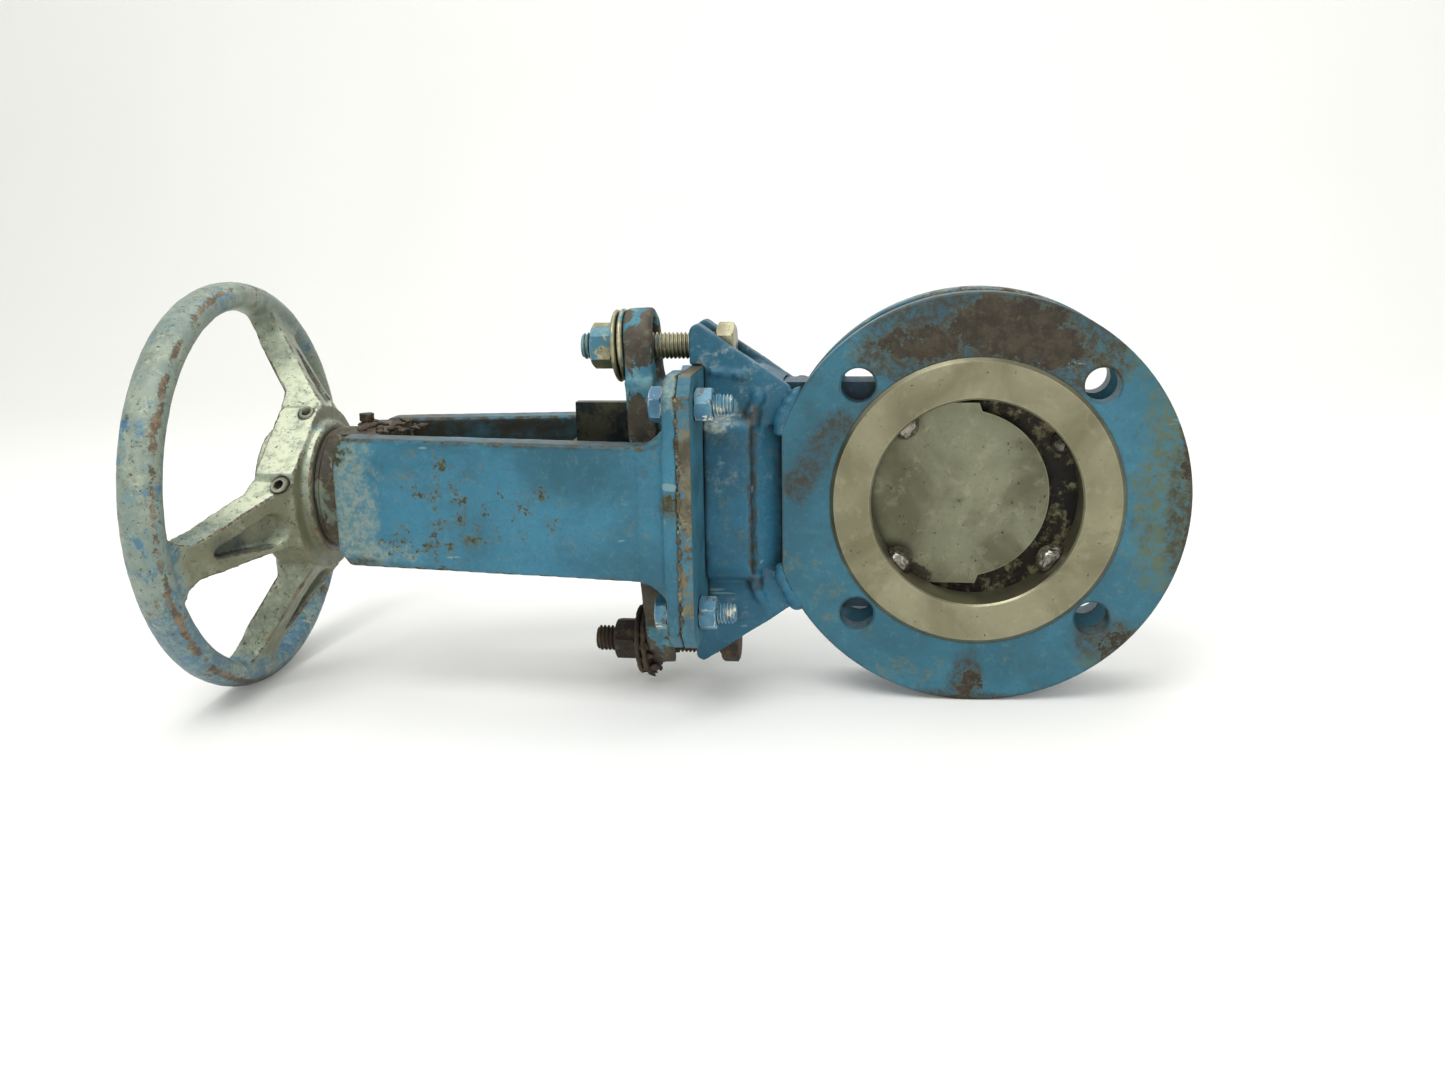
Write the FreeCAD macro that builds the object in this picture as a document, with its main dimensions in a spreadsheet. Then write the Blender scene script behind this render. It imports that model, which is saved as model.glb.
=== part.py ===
import FreeCAD, Part
import Sketcher
import math
import os

# Knife gate valve, 3 in Class 150 pattern, modelled lying on its side.
# Millimetres. X runs along the stem (handwheel towards -X), Y along the bore
# (front face towards -Y), Z is up. The origin is the middle of the bore.

doc = FreeCAD.newDocument("knife_gate_valve")
V = FreeCAD.Vector
ALONG_X = FreeCAD.Rotation(V(0, 1, 0), 90)
ALONG_Y = FreeCAD.Rotation(V(1, 0, 0), -90)
UPRIGHT = FreeCAD.Rotation()

# ---------------------------------------------------------------- sizes
SIZES = {
    # flanges and bore
    "flangeRadius": 95.25, "boltCircle": 152.4, "boltHoleRadius": 7.9,
    "flangeFace": 23.65, "flangeInner": 10.65, "faceToCentre": 25.4,
    "ringRadius": 66.6, "lipRadius": 47.7, "tubeRadius": 51.0, "portRadius": 34.5,
    "ringSeat": 21.65, "ringBevel": 1.7, "chordOffset": 88.8, "edgeBreak": 0.8,
    # gate and housing
    "gateHalfWidth": 43.4, "gateHalfThick": 3.175, "gateTipRadius": 40.2, "gateTipCentre": -5.4,
    "gateShoulder": 1.5, "gateEnd": -190.3, "slotHalfWidth": 45.6, "slotHalfThick": 3.9,
    "housingRadius": 62.0, "housingHalf": 54.0, "seatFront": 3.6, "seatBack": 8.0,
    "frontTubeEnd": -4.2,
    # stuffing box and its flange
    "neckX": -103.0, "chestX": -125.2, "seamX": -131.0, "footX": -137.8,
    "boxHalfY": 18.0, "boxHalfZ": 59.0, "panelHalfY": 26.0, "panelHalfZ": 39.0,
    "cavityHalfY": 12.8, "cavityHalfZ": 53.2,
    "plateHalfY": 63.0, "plateHalfZ": 62.5, "cornerCut": 8.5,
    # yoke
    "legHalfHeight": 31.15, "legThick": 14.4, "legOuterNose": 36.7, "legOuterFoot": 58.8,
    "legEndX": -302.0, "noseInnerX": -283.0, "noseOuterX": -313.0, "legCornerCut": 6.0,
    "footInnerY": 33.0, "collarRadius": 30.5, "bushOuter": 20.5,
    "yokeBoltY": 45.0, "yokeBoltZ": 48.3, "yokeBoltRadius": 4.7625, "yokeHoleRadius": 5.2,
    # gland
    "glandX": -153.7, "glandThick": 13.4, "glandTilt": 2.55, "glandHalfY": 16.0,
    "glandNoseHalfY": 12.4, "glandNoseHalfZ": 51.8, "glandNoseDepth": 26.5,
    "glandBoltRadius": 6.35, "upperBoltZ": 70.1, "lowerBoltZ": -76.5,
    "washerRadius": 17.45, "washerThick": 3.0, "washerHole": 7.15,
    # brackets
    "cheekInner": 10.7, "cheekOuter": 18.0, "lipInner": 7.0, "lipX": -121.0, "bracketX": -132.0,
    # stem, nut and bearings
    "stemRadius": 10.0, "stemBore": 10.06, "stemEndX": -341.0, "forkX": -196.0, "forkTipX": -172.0,
    "forkHalfY": 11.5, "forkHalfZ": 24.0, "nutRadius": 18.0, "bushInner": 18.05,
    "nutFlangeRadius": 23.0, "nutEndX": -344.0,
    # handwheel
    "rimRadius": 95.0, "rimRadial": 7.0, "rimAxial": 10.3, "rimX": -365.6,
    "webValveX": -320.0, "webWheelX": -340.0, "hubValveX": -315.2, "hubWheelX": -345.0,
    "hubRingRadius": 33.0, "hubFlat": 35.0, "hubRadius": 41.0, "screwX": -326.0,
}

sheet = doc.addObject("Spreadsheet::Sheet", "Sizes")
for row, (alias, value) in enumerate(SIZES.items(), start=1):
    sheet.set("A%d" % row, alias)
    sheet.set("B%d" % row, str(value))
    sheet.setAlias("B%d" % row, alias)
doc.recompute()

NODES = []


def size(alias):
    return SIZES[alias]


def formula(text):
    """Prefix every sizes alias found in the text with the sheet name."""
    out, word = "", ""
    for ch in text + " ":
        if ch.isalnum() or ch == "_":
            word += ch
            continue
        out += ("Sizes." + word) if word in SIZES else word
        out += ch
        word = ""
    return out.strip()


def evaluate(text):
    """Value of a sum of products of numbers and sizes entries, such as -2*faceToCentre+5."""
    total, sign, term = 0.0, 1.0, ""
    for ch in str(text).replace(" ", "") + "+":
        if ch in "+-":
            if term:
                product = 1.0
                for factor in term.split("*"):
                    product *= SIZES[factor] if factor in SIZES else float(factor)
                total += sign * product
                sign = 1.0
            sign = sign if ch == "+" else -sign
            term = ""
        else:
            term += ch
    return total


def bind(obj, prop, text):
    text = str(text)
    if any(alias in text for alias in SIZES):
        obj.setExpression(prop, formula(text))
    else:
        setattr(obj, prop, evaluate(text))


def move(obj, x="0", y="0", z="0", rotation=UPRIGHT):
    x, y, z = str(x), str(y), str(z)
    obj.Placement = FreeCAD.Placement(V(evaluate(x), evaluate(y), evaluate(z)), rotation)
    for axis, text in (("x", x), ("y", y), ("z", z)):
        if any(alias in text for alias in SIZES):
            obj.setExpression("Placement.Base." + axis, formula(text))


def cylinder(radius, start, end, axis="x", a="0", b="0"):
    """Cylinder between two stations of an axis; a and b are the other two coordinates in order."""
    obj = doc.addObject("Part::Cylinder", "Cyl")
    bind(obj, "Radius", radius)
    bind(obj, "Height", span(start, end))
    if axis == "x":
        move(obj, start, a, b, ALONG_X)
    elif axis == "y":
        move(obj, a, start, b, ALONG_Y)
    else:
        move(obj, a, b, start)
    return obj


def span(start, end):
    """Text for end minus start without brackets."""
    start = str(start)
    flipped, word = "", ""
    text = start if start[0] in "+-" else "+" + start
    for ch in text:
        flipped += {"+": "-", "-": "+"}.get(ch, ch)
    return (str(end) + flipped).replace("--", "+").replace("+-", "-")


def box(x0, x1, y0, y1, z0, z1):
    obj = doc.addObject("Part::Box", "Box")
    bind(obj, "Length", span(x0, x1))
    bind(obj, "Width", span(y0, y1))
    bind(obj, "Height", span(z0, z1))
    move(obj, x0, y0, z0)
    return obj


def prism(points, plane, start, end, name="Profile"):
    """Closed sketch of straight lines, pushed from one station to another along its normal.

    plane "XZ": points are (x, z), pushed along Y. plane "XY": points are (x, y), pushed along Z.
    plane "YZ": points are (y, z), pushed along X.
    """
    sketch = doc.addObject("Sketcher::SketchObject", name)
    flat = [(evaluate(str(u)), evaluate(str(v))) for u, v in points]
    count = len(flat)
    for i in range(count):
        u0, v0 = flat[i]
        u1, v1 = flat[(i + 1) % count]
        sketch.addGeometry(Part.LineSegment(V(u0, v0, 0), V(u1, v1, 0)), False)
    for i in range(count):
        sketch.addConstraint(Sketcher.Constraint("Coincident", i, 2, (i + 1) % count, 1))
    for i, (u, v) in enumerate(points):
        for kind, text, value in (("DistanceX", str(u), flat[i][0]), ("DistanceY", str(v), flat[i][1])):
            index = sketch.addConstraint(Sketcher.Constraint(kind, -1, 1, i, 1, value))
            if any(alias in text for alias in SIZES):
                sketch.setExpression("Constraints[%d]" % index, formula(text))
    push = doc.addObject("Part::Extrusion", name + "Solid")
    push.Base = sketch
    push.DirMode = "Custom"
    push.Solid = True
    start, end = str(start), str(end)
    if plane == "XZ":
        move(sketch, "0", start, "0", FreeCAD.Rotation(V(1, 0, 0), 90))
        push.Dir = V(0, 1, 0)
    elif plane == "XY":
        move(sketch, "0", "0", start)
        push.Dir = V(0, 0, 1)
    else:
        move(sketch, start, "0", "0", FreeCAD.Rotation(V(1, 1, 1), 120))
        push.Dir = V(1, 0, 0)
    bind(push, "LengthFwd", span(start, end))
    return push


def cut(base, *tools):
    for tool in tools:
        result = doc.addObject("Part::Cut", "Cut")
        result.Base, result.Tool = base, tool
        base = result
    return base


def fuse(*parts):
    result = doc.addObject("Part::MultiFuse", "Fuse")
    result.Shapes = list(parts)
    result.Refine = True
    return result


def common(*parts):
    result = doc.addObject("Part::MultiCommon", "Common")
    result.Shapes = list(parts)
    return result


def group(*parts):
    result = doc.addObject("Part::Compound", "Group")
    result.Links = list(parts)
    return result


def chamfer(base, amount, edges):
    """Chamfer the edges for which the given test on (edge) is true."""
    doc.recompute()
    result = doc.addObject("Part::Chamfer", "Chamfer")
    result.Base = base
    result.Edges = [(i, amount, amount) for i, e in enumerate(base.Shape.Edges, start=1) if edges(e)]
    return result


def fillet(base, amount, edges):
    doc.recompute()
    result = doc.addObject("Part::Fillet", "Fillet")
    result.Base = base
    result.Edges = [(i, amount, amount) for i, e in enumerate(base.Shape.Edges, start=1) if edges(e)]
    return result


def turned(obj, angle, axis=V(1, 0, 0), about=V(0, 0, 0)):
    """A wrapper that swings a finished shape about a line."""
    holder = group(obj)
    spin = FreeCAD.Rotation(axis, angle)
    holder.Placement = FreeCAD.Placement(about - spin.multVec(about), spin)
    return holder


def node(label, obj):
    obj.Label = label
    NODES.append(obj)
    return obj


def hexagon(across_flats, start, end, axis="x", a="0", b="0", turn=0.0):
    """Hex prism between two stations; turn is in degrees about its own axis."""
    obj = doc.addObject("Part::Prism", "Hex")
    obj.Polygon = 6
    obj.Circumradius = across_flats / math.sqrt(3)
    bind(obj, "Height", span(start, end))
    lay = ALONG_X if axis == "x" else ALONG_Y
    spin = lay.multiply(FreeCAD.Rotation(V(0, 0, 1), turn))
    if axis == "x":
        move(obj, start, a, b, spin)
    else:
        move(obj, a, start, b, spin)
    return obj


def rounded_hex(across_flats, start, end, axis="x", a="0", b="0", turn=0.0):
    """Hex head with its corners turned off at both ends."""
    base = hexagon(across_flats, start, end, axis, a, b, turn)
    length = evaluate(span(start, end))
    cones = []
    for first, second in ((0.0, length), (length, 0.0)):
        cone = doc.addObject("Part::Cone", "Crown")
        cone.Radius1 = across_flats * 0.49 + first * 1.73
        cone.Radius2 = across_flats * 0.49 + second * 1.73
        cone.Height = length
        lay = ALONG_X if axis == "x" else ALONG_Y
        if axis == "x":
            move(cone, start, a, b, lay)
        else:
            move(cone, a, start, b, lay)
        cones.append(cone)
    return common(base, *cones)


# ---------------------------------------------------------------- flanges
def is_rim(edge, radius, y):
    curve = edge.Curve
    return (hasattr(curve, "Radius") and abs(curve.Radius - radius) < 0.01
            and abs(edge.BoundBox.YMin - y) < 0.01 and abs(edge.BoundBox.YMax - y) < 0.01)


def bolt_holes():
    offset = size("boltCircle") / 2 / math.sqrt(2)
    holes = []
    for sx in (-1, 1):
        for sz in (-1, 1):
            hole = doc.addObject("Part::Cylinder", "BoltHole")
            bind(hole, "Radius", "boltHoleRadius")
            bind(hole, "Height", "2*faceToCentre")
            hole.Placement = FreeCAD.Placement(V(sx * offset, -25.4, sz * offset), ALONG_Y)
            hole.setExpression("Placement.Base.x", "%d*Sizes.boltCircle/2/sqrt(2)" % sx)
            hole.setExpression("Placement.Base.y", "-Sizes.faceToCentre")
            hole.setExpression("Placement.Base.z", "%d*Sizes.boltCircle/2/sqrt(2)" % sz)
            holes.append(hole)
    return holes


def flange(side):
    """One flange plate; side is -1 for the front and +1 for the back."""
    inner, outer, recess = ("flangeInner", "flangeFace", "ringSeat")
    if side < 0:
        disc = cylinder("flangeRadius", "-" + outer, "-" + inner, "y")
        pocket = cylinder("ringRadius", "-" + outer, "-" + recess, "y")
    else:
        disc = cylinder("flangeRadius", inner, outer, "y")
        pocket = cylinder("ringRadius", recess, outer, "y")
    bore = cylinder("tubeRadius", "-faceToCentre", "faceToCentre", "y")
    flat = box("-flangeRadius-5", "-chordOffset", "-faceToCentre", "faceToCentre",
               "-flangeRadius", "flangeRadius")
    body = cut(disc, *bolt_holes(), bore, pocket, flat)
    face = side * size("flangeFace")
    return chamfer(body, size("edgeBreak"),
                   lambda e: is_rim(e, size("flangeRadius"), face)
                   or is_rim(e, size("boltHoleRadius"), face)
                   or is_rim(e, size("flangeRadius"), side * size("flangeInner")))


node("front_flange", flange(-1))
node("back_flange", flange(1))


def liner(side):
    """Raised-face ring with the short tube that lines the bore."""
    if side < 0:
        plate = cylinder("ringRadius", "-faceToCentre", "-ringSeat", "y")
        tube = cylinder("tubeRadius", "-ringSeat", "frontTubeEnd", "y")
        hole = cylinder("lipRadius", "-faceToCentre", "frontTubeEnd", "y")
    else:
        plate = cylinder("ringRadius", "ringSeat", "faceToCentre", "y")
        tube = cylinder("tubeRadius", "seatBack", "ringSeat", "y")
        hole = cylinder("portRadius", "seatBack", "faceToCentre", "y")
    body = cut(fuse(plate, tube), hole)
    face = side * size("faceToCentre")
    bevelled = chamfer(body, size("ringBevel"), lambda e: is_rim(e, size("ringRadius"), face))
    mouth = "lipRadius" if side < 0 else "portRadius"
    return chamfer(bevelled, 0.9, lambda e: is_rim(e, size(mouth), face))


node("front_face_ring", liner(-1))
node("back_face_ring", liner(1))
node("seat_ring", cut(cylinder("tubeRadius", "seatFront", "seatBack", "y"),
                      cylinder("portRadius", "seatFront", "seatBack", "y")))

# four weld-built guides on the bore wall that hold the gate back on its seat
guides = []
for angle, bulk in ((34, 5.6), (134, 6.6), (222, 7.0), (321, 7.6)):
    lump = doc.addObject("Part::Sphere", "Lump")
    lump.Radius = bulk
    reach = size("lipRadius") - 0.5
    lump.Placement = FreeCAD.Placement(
        V(reach * math.cos(math.radians(angle)), -9.5, reach * math.sin(math.radians(angle))), UPRIGHT)
    guides.append(common(lump, cylinder("lipRadius", "-16", "frontTubeEnd", "y")))
node("gate_guides", group(*guides))

# ---------------------------------------------------------------- gate housing between the flanges
housing = fuse(cylinder("housingRadius", "-flangeInner", "flangeInner", "y"),
               box("neckX", "0", "-flangeInner", "flangeInner", "-housingHalf", "housingHalf"))
housing = cut(housing,
              cylinder("tubeRadius", "-flangeInner", "flangeInner", "y"),
              box("neckX", "0", "-slotHalfThick", "slotHalfThick", "-slotHalfWidth", "slotHalfWidth"))
node("gate_housing", housing)

# ---------------------------------------------------------------- stuffing box
panel = fillet(box("chestX", "neckX", "-panelHalfY", "panelHalfY", "-panelHalfZ", "panelHalfZ"), 7.0,
               lambda e: abs(e.BoundBox.YLength) < 0.01 and abs(e.BoundBox.ZLength) < 0.01)
chest = fuse(panel, box("chestX", "neckX", "-boxHalfY", "boxHalfY", "-boxHalfZ", "boxHalfZ"))
chest = cut(chest, box("chestX", "-108.0", "-cavityHalfY", "cavityHalfY", "-cavityHalfZ", "cavityHalfZ"),
            box("-108.0", "neckX", "-slotHalfThick", "slotHalfThick", "-slotHalfWidth", "slotHalfWidth"))
node("stuffing_box", chest)

# sloped plates that close the neck between the box and the flange edges
neck_sides = []
for sign in (-1, 1):
    outline = [("neckX", "%g" % (22.0 * sign)), ("-96.0", "%g" % (17.0 * sign)),
               ("-89.2", "%g" % (13.0 * sign)), ("-89.2", "%g" % (10.75 * sign)),
               ("neckX", "%g" % (10.75 * sign))]
    neck_sides.append(prism(outline, "XY", "-34.0", "34.0", "NeckSide"))
node("neck_plates", group(*neck_sides))

plate = prism([("-plateHalfY+cornerCut", "-plateHalfZ"), ("plateHalfY-cornerCut", "-plateHalfZ"),
               ("plateHalfY", "-plateHalfZ+cornerCut"), ("plateHalfY", "plateHalfZ-cornerCut"),
               ("plateHalfY-cornerCut", "plateHalfZ"), ("-plateHalfY+cornerCut", "plateHalfZ"),
               ("-plateHalfY", "plateHalfZ-cornerCut"), ("-plateHalfY", "-plateHalfZ+cornerCut")],
              "YZ", "seamX", "chestX", "BoxFlange")


def corner_holes(radius, start, end):
    holes = []
    for sy in ("-", ""):
        for sz in ("-", ""):
            holes.append(cylinder(radius, start, end, "x", sy + "yokeBoltY", sz + "yokeBoltZ"))
    return holes


plate = cut(plate, box("seamX", "chestX", "-cavityHalfY", "cavityHalfY", "-cavityHalfZ", "cavityHalfZ"),
            *corner_holes("yokeHoleRadius", "seamX", "chestX"))
node("box_flange", plate)

rings = []
for start in ("-108.1", "-113.6", "-119.1"):
    stop = "%g" % (float(start) - 5.3)
    rings.append(cut(box(stop, start, "-cavityHalfY+0.1", "cavityHalfY-0.1",
                         "-cavityHalfZ+0.1", "cavityHalfZ-0.1"),
                     box(stop, start, "-3.35", "3.35", "-gateHalfWidth-0.25", "gateHalfWidth+0.25")))
node("packing_rings", group(*rings))


# ---------------------------------------------------------------- gland brackets
def bracket(sign):
    """Two cheeks joined by lips that the gland bolt head bears on and by a closing block."""
    tip = 81.5 * sign
    cheek = [("chestX+0.02", "%g" % (59.05 * sign)), ("chestX+0.02", "%g" % (62.6 * sign)),
             ("bracketX", "%g" % (62.6 * sign)), ("bracketX", "%g" % (tip - 3.5 * sign)),
             ("bracketX+1.2", "%g" % (tip - 1.0 * sign)), ("bracketX+4.0", "%g" % tip),
             ("-123.5", "%g" % (78.5 * sign)), ("-84.5", "%g" % (52.0 * sign)),
             ("-89.2", "%g" % (35.0 * sign)), ("neckX+0.02", "%g" % (35.0 * sign)),
             ("neckX+0.02", "%g" % (59.05 * sign))]
    lip = [("bracketX", "%g" % (62.6 * sign)), ("lipX", "%g" % (62.6 * sign)),
           ("lipX", "%g" % (76.8 * sign)), ("-123.5", "%g" % (78.5 * sign)),
           ("bracketX+4.0", "%g" % tip), ("bracketX+1.2", "%g" % (tip - 1.0 * sign)),
           ("bracketX", "%g" % (tip - 3.5 * sign))]
    block = [("neckX+2.5", "%g" % (54.05 * sign)), ("neckX+2.5", "%g" % (61.6 * sign)),
             ("-88.0", "%g" % (54.35 * sign))]
    parts = [prism(cheek, "XZ", "-cheekOuter", "-cheekInner", "Cheek"),
             prism(cheek, "XZ", "cheekInner", "cheekOuter", "Cheek"),
             prism(lip, "XZ", "-cheekInner", "-lipInner", "Lip"),
             prism(lip, "XZ", "lipInner", "cheekInner", "Lip"),
             prism(block, "XZ", "-cheekInner", "cheekInner", "Closing")]
    low, high = ("59.05", "61.0") if sign > 0 else ("-61.0", "-59.05")
    for start, stop in (("chestX+0.02", "lipX"), ("-112.0", "neckX+2.5")):
        parts.append(box(start, stop, "-cheekInner", "cheekInner", low, high))
    return fuse(*parts)


node("upper_gland_bracket", bracket(1))
node("lower_gland_bracket", bracket(-1))


# ---------------------------------------------------------------- gland follower and its bolting
def gland():
    half = size("glandThick") / 2
    deck = box("-glandThick*0.5", "glandThick*0.5", "-glandHalfY-2", "glandHalfY+2", "-56.0", "56.0")
    arm = box("-glandThick*0.5", "glandThick*0.5", "-glandHalfY", "glandHalfY", "-72.0", "72.0")
    solids = [deck, arm]
    for sign in ("-", ""):
        solids.append(cylinder("glandHalfY", "-glandThick*0.5", "glandThick*0.5", "x", "0", sign + "72.0"))
    nose = box("glandThick*0.5", "glandNoseDepth", "-glandNoseHalfY", "glandNoseHalfY",
               "-glandNoseHalfZ", "glandNoseHalfZ")
    body = fuse(*solids, nose)
    slot = box("-glandThick*0.5-1", "glandNoseDepth+1", "-slotHalfThick+0.2", "slotHalfThick-0.2",
               "-gateHalfWidth-1.9", "gateHalfWidth+1.9")
    cuts = [slot]
    for low, high in (("66.6", "76.0"), ("-82.0", "-70.4")):
        cuts.append(box("-glandThick", "glandThick", "-7.2", "7.2", low, high))
        for stop in (low, high):
            cuts.append(cylinder("7.2", "-glandThick", "glandThick", "x", "0", stop))
    body = cut(body, *cuts)
    body = chamfer(body, 1.0, lambda e: e.BoundBox.XLength < 0.01
                   and abs(abs(e.BoundBox.XMin) - half) < 0.01
                   and e.BoundBox.ZMax * e.BoundBox.ZMin > 0 and abs(e.CenterOfMass.z) > 72.5
                   and hasattr(e.Curve, "Radius") and e.Curve.Radius > 10)
    holder = group(body)
    holder.Placement = FreeCAD.Placement(V(size("glandX"), 0, 0),
                                         FreeCAD.Rotation(V(0, 1, 0), -size("glandTilt")))
    holder.setExpression("Placement.Base.x", "Sizes.glandX")
    return holder


node("gland_follower", gland())


def gland_bolt(z, tip, head):
    """Hex bolt with its head inside the bracket slot."""
    shank = cylinder("glandBoltRadius", tip, head, "x", "0", z)
    shank = chamfer(shank, 1.2, lambda e: abs(e.BoundBox.XMax - float(tip)) < 0.01
                    and e.BoundBox.XLength < 0.01)
    return fuse(shank, rounded_hex(19.0, head, "%g" % (float(head) + 8.6), "x", "0", z, 0.0))


def bored(solid, radius, start, end, y, z):
    return cut(solid, cylinder(radius, start, end, "x", y, z))


def washer(z, start, thick, tilt):
    """Flat washer squeezed square to the tilted gland."""
    ring = cut(cylinder("washerRadius", "-%g" % (thick / 2), "%g" % (thick / 2), "x"),
               cylinder("washerHole", "-%g" % (thick / 2), "%g" % (thick / 2), "x"))
    ring = chamfer(ring, 0.5, lambda e: hasattr(e.Curve, "Radius")
                   and e.Curve.Radius > 15 and e.BoundBox.XLength < 0.01)
    holder = group(ring)
    holder.Placement = FreeCAD.Placement(V(start, 0, z), FreeCAD.Rotation(V(0, 1, 0), -tilt))
    return holder


TILT = size("glandTilt")
LEAN = math.tan(math.radians(TILT))
for level, name, tip, head in ((size("upperBoltZ"), "upper", "-186.0", "-120.9"),
                               (size("lowerBoltZ"), "lower", "-184.5", "-120.9")):
    z_text = "upperBoltZ" if name == "upper" else "lowerBoltZ"
    node(name + "_gland_bolt", gland_bolt(z_text, tip, head))
    face = size("glandX") - size("glandThick") / 2 / math.cos(math.radians(TILT)) - level * LEAN
    thick = size("washerThick")
    pair = [washer(level, face - 0.05 - thick / 2, thick, TILT),
            washer(level, face - 0.15 - thick * 1.5, thick, TILT)]
    node(name + "_gland_washers", group(*pair))
    seat = face - 0.65 - 2 * thick
    stop = "%g" % seat
    start = "%g" % (seat - 10.9)
    hexnut = rounded_hex(19.0, start, stop, "x", "0", z_text, 30.0 if name == "upper" else 18.0)
    node(name + "_gland_nut", bored(hexnut, "glandBoltRadius+0.02", start, stop, "0", z_text))


# ---------------------------------------------------------------- yoke
def leg(sign):
    """One arm with its foot; sign -1 is the front arm."""

    def y(text):
        return ("-" + text) if sign < 0 else text

    run = size("footX") - size("legEndX")
    rise = size("legOuterFoot") - size("legOuterNose")

    def outer(x):
        return size("legOuterNose") + rise * (x - size("legEndX")) / run

    bar = [("legEndX", "%g" % (sign * outer(size("legEndX")))), ("-143.2", "%g" % (sign * outer(-143.2))),
           ("-140.6", "%g" % (sign * 59.2)), ("-138.8", "%g" % (sign * 60.6)),
           ("footX", y("plateHalfY")), ("footX", y("footInnerY")), ("-141.0", "%g" % (sign * 40.6)),
           ("-144.5", "%g" % (sign * (outer(-144.5) - size("legThick")))),
           ("legEndX", "%g" % (sign * (outer(size("legEndX")) - size("legThick"))))]
    arm = prism(bar, "XY", "-legHalfHeight", "legHalfHeight", "Arm")
    flare = [("-150.0", "-legHalfHeight"), ("-145.5", "-legHalfHeight-1.2"),
             ("-141.5", "-legHalfHeight-4.6"), ("-138.9", "-legHalfHeight-7.4"),
             ("footX", "-legHalfHeight-8.3"), ("footX", "legHalfHeight+8.3"),
             ("-138.9", "legHalfHeight+7.4"), ("-141.5", "legHalfHeight+4.6"),
             ("-145.5", "legHalfHeight+1.2"), ("-150.0", "legHalfHeight")]
    near, far = ("-58.6", "-46.5") if sign < 0 else ("46.5", "58.6")
    web = prism(flare, "XZ", near, far, "Flare")
    foot = [(y("footInnerY"), "-plateHalfZ"), ("%s%s" % (y("plateHalfY"), "+cornerCut" if sign < 0 else
                                                       "-cornerCut"), "-plateHalfZ"),
            (y("plateHalfY"), "-plateHalfZ+cornerCut"), (y("plateHalfY"), "plateHalfZ-cornerCut"),
            ("%s%s" % (y("plateHalfY"), "+cornerCut" if sign < 0 else "-cornerCut"), "plateHalfZ"),
            (y("footInnerY"), "plateHalfZ")]
    pad = prism(foot, "YZ", "footX", "seamX-0.02", "Foot")
    body = fuse(arm, web, pad)
    holes = [cylinder("yokeHoleRadius", "footX-1", "seamX+1", "x", y("yokeBoltY"), sz + "yokeBoltZ")
             for sz in ("-", "")]
    corners = []
    for up in (-1, 1):
        half = size("legHalfHeight")
        corners.append(prism([("legEndX-1", "%g" % (up * (half + 1))), ("legEndX+legCornerCut",
                             "%g" % (up * (half + 1))), ("legEndX+legCornerCut", "%g" % (up * half)),
                             ("legEndX", "%g" % (up * (half - 6.4))), ("legEndX-1", "%g" % (up * (half - 6.4)))],
                             "XZ", "-64.0" if sign < 0 else "10.0", "-10.0" if sign < 0 else "64.0", "Corner"))
    return cut(body, *holes, *corners)


node("front_yoke_arm", leg(-1))
node("rear_yoke_arm", leg(1))

inner_nose = size("legOuterNose") - size("legThick")
slope = (size("legOuterFoot") - size("legOuterNose")) / (size("footX") - size("legEndX"))
inner_back = inner_nose + slope * (size("noseInnerX") - size("legEndX"))
head = prism([("legEndX", "%g" % -inner_nose), ("noseInnerX", "%g" % -inner_back),
              ("noseInnerX", "%g" % inner_back), ("legEndX", "%g" % inner_nose)],
             "XY", "-legHalfHeight+0.6", "legHalfHeight-0.6", "NoseBlock")
collar = chamfer(cylinder("collarRadius", "noseOuterX", "legEndX", "x"), 1.0,
                 lambda e: e.BoundBox.XLength < 0.01 and abs(e.BoundBox.XMin - size("noseOuterX")) < 0.01)
nose = cut(fuse(head, collar), cylinder("bushOuter", "noseOuterX", "noseInnerX", "x"),
           cylinder("2.5", "20.0", "40.0", "z", "-297.5", "0"))
node("bearing_housing", nose)
node("nose_bushing", cut(cylinder("bushOuter", "noseOuterX", "noseInnerX", "x"),
                         cylinder("bushInner", "noseOuterX", "noseInnerX", "x")))
node("inner_thrust_washer", cut(cylinder("nutFlangeRadius", "noseInnerX", "noseInnerX+1.9", "x"),
                                cylinder("bushInner+0.3", "noseInnerX", "noseInnerX+1.9", "x")))
node("outer_thrust_washer", cut(cylinder("collarRadius-1.2", "noseOuterX-1.9", "noseOuterX", "x"),
                                cylinder("bushInner+0.3", "noseOuterX-1.9", "noseOuterX", "x")))
fitting = fuse(cylinder("2.45", "22.2", "33.0", "z", "-297.5", "0"),
               cylinder("2.6", "30.6", "34.0", "z", "-297.5", "0"),
               cylinder("3.6", "33.6", "37.4", "z", "-297.5", "0"))
node("grease_fitting", fitting)

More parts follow.
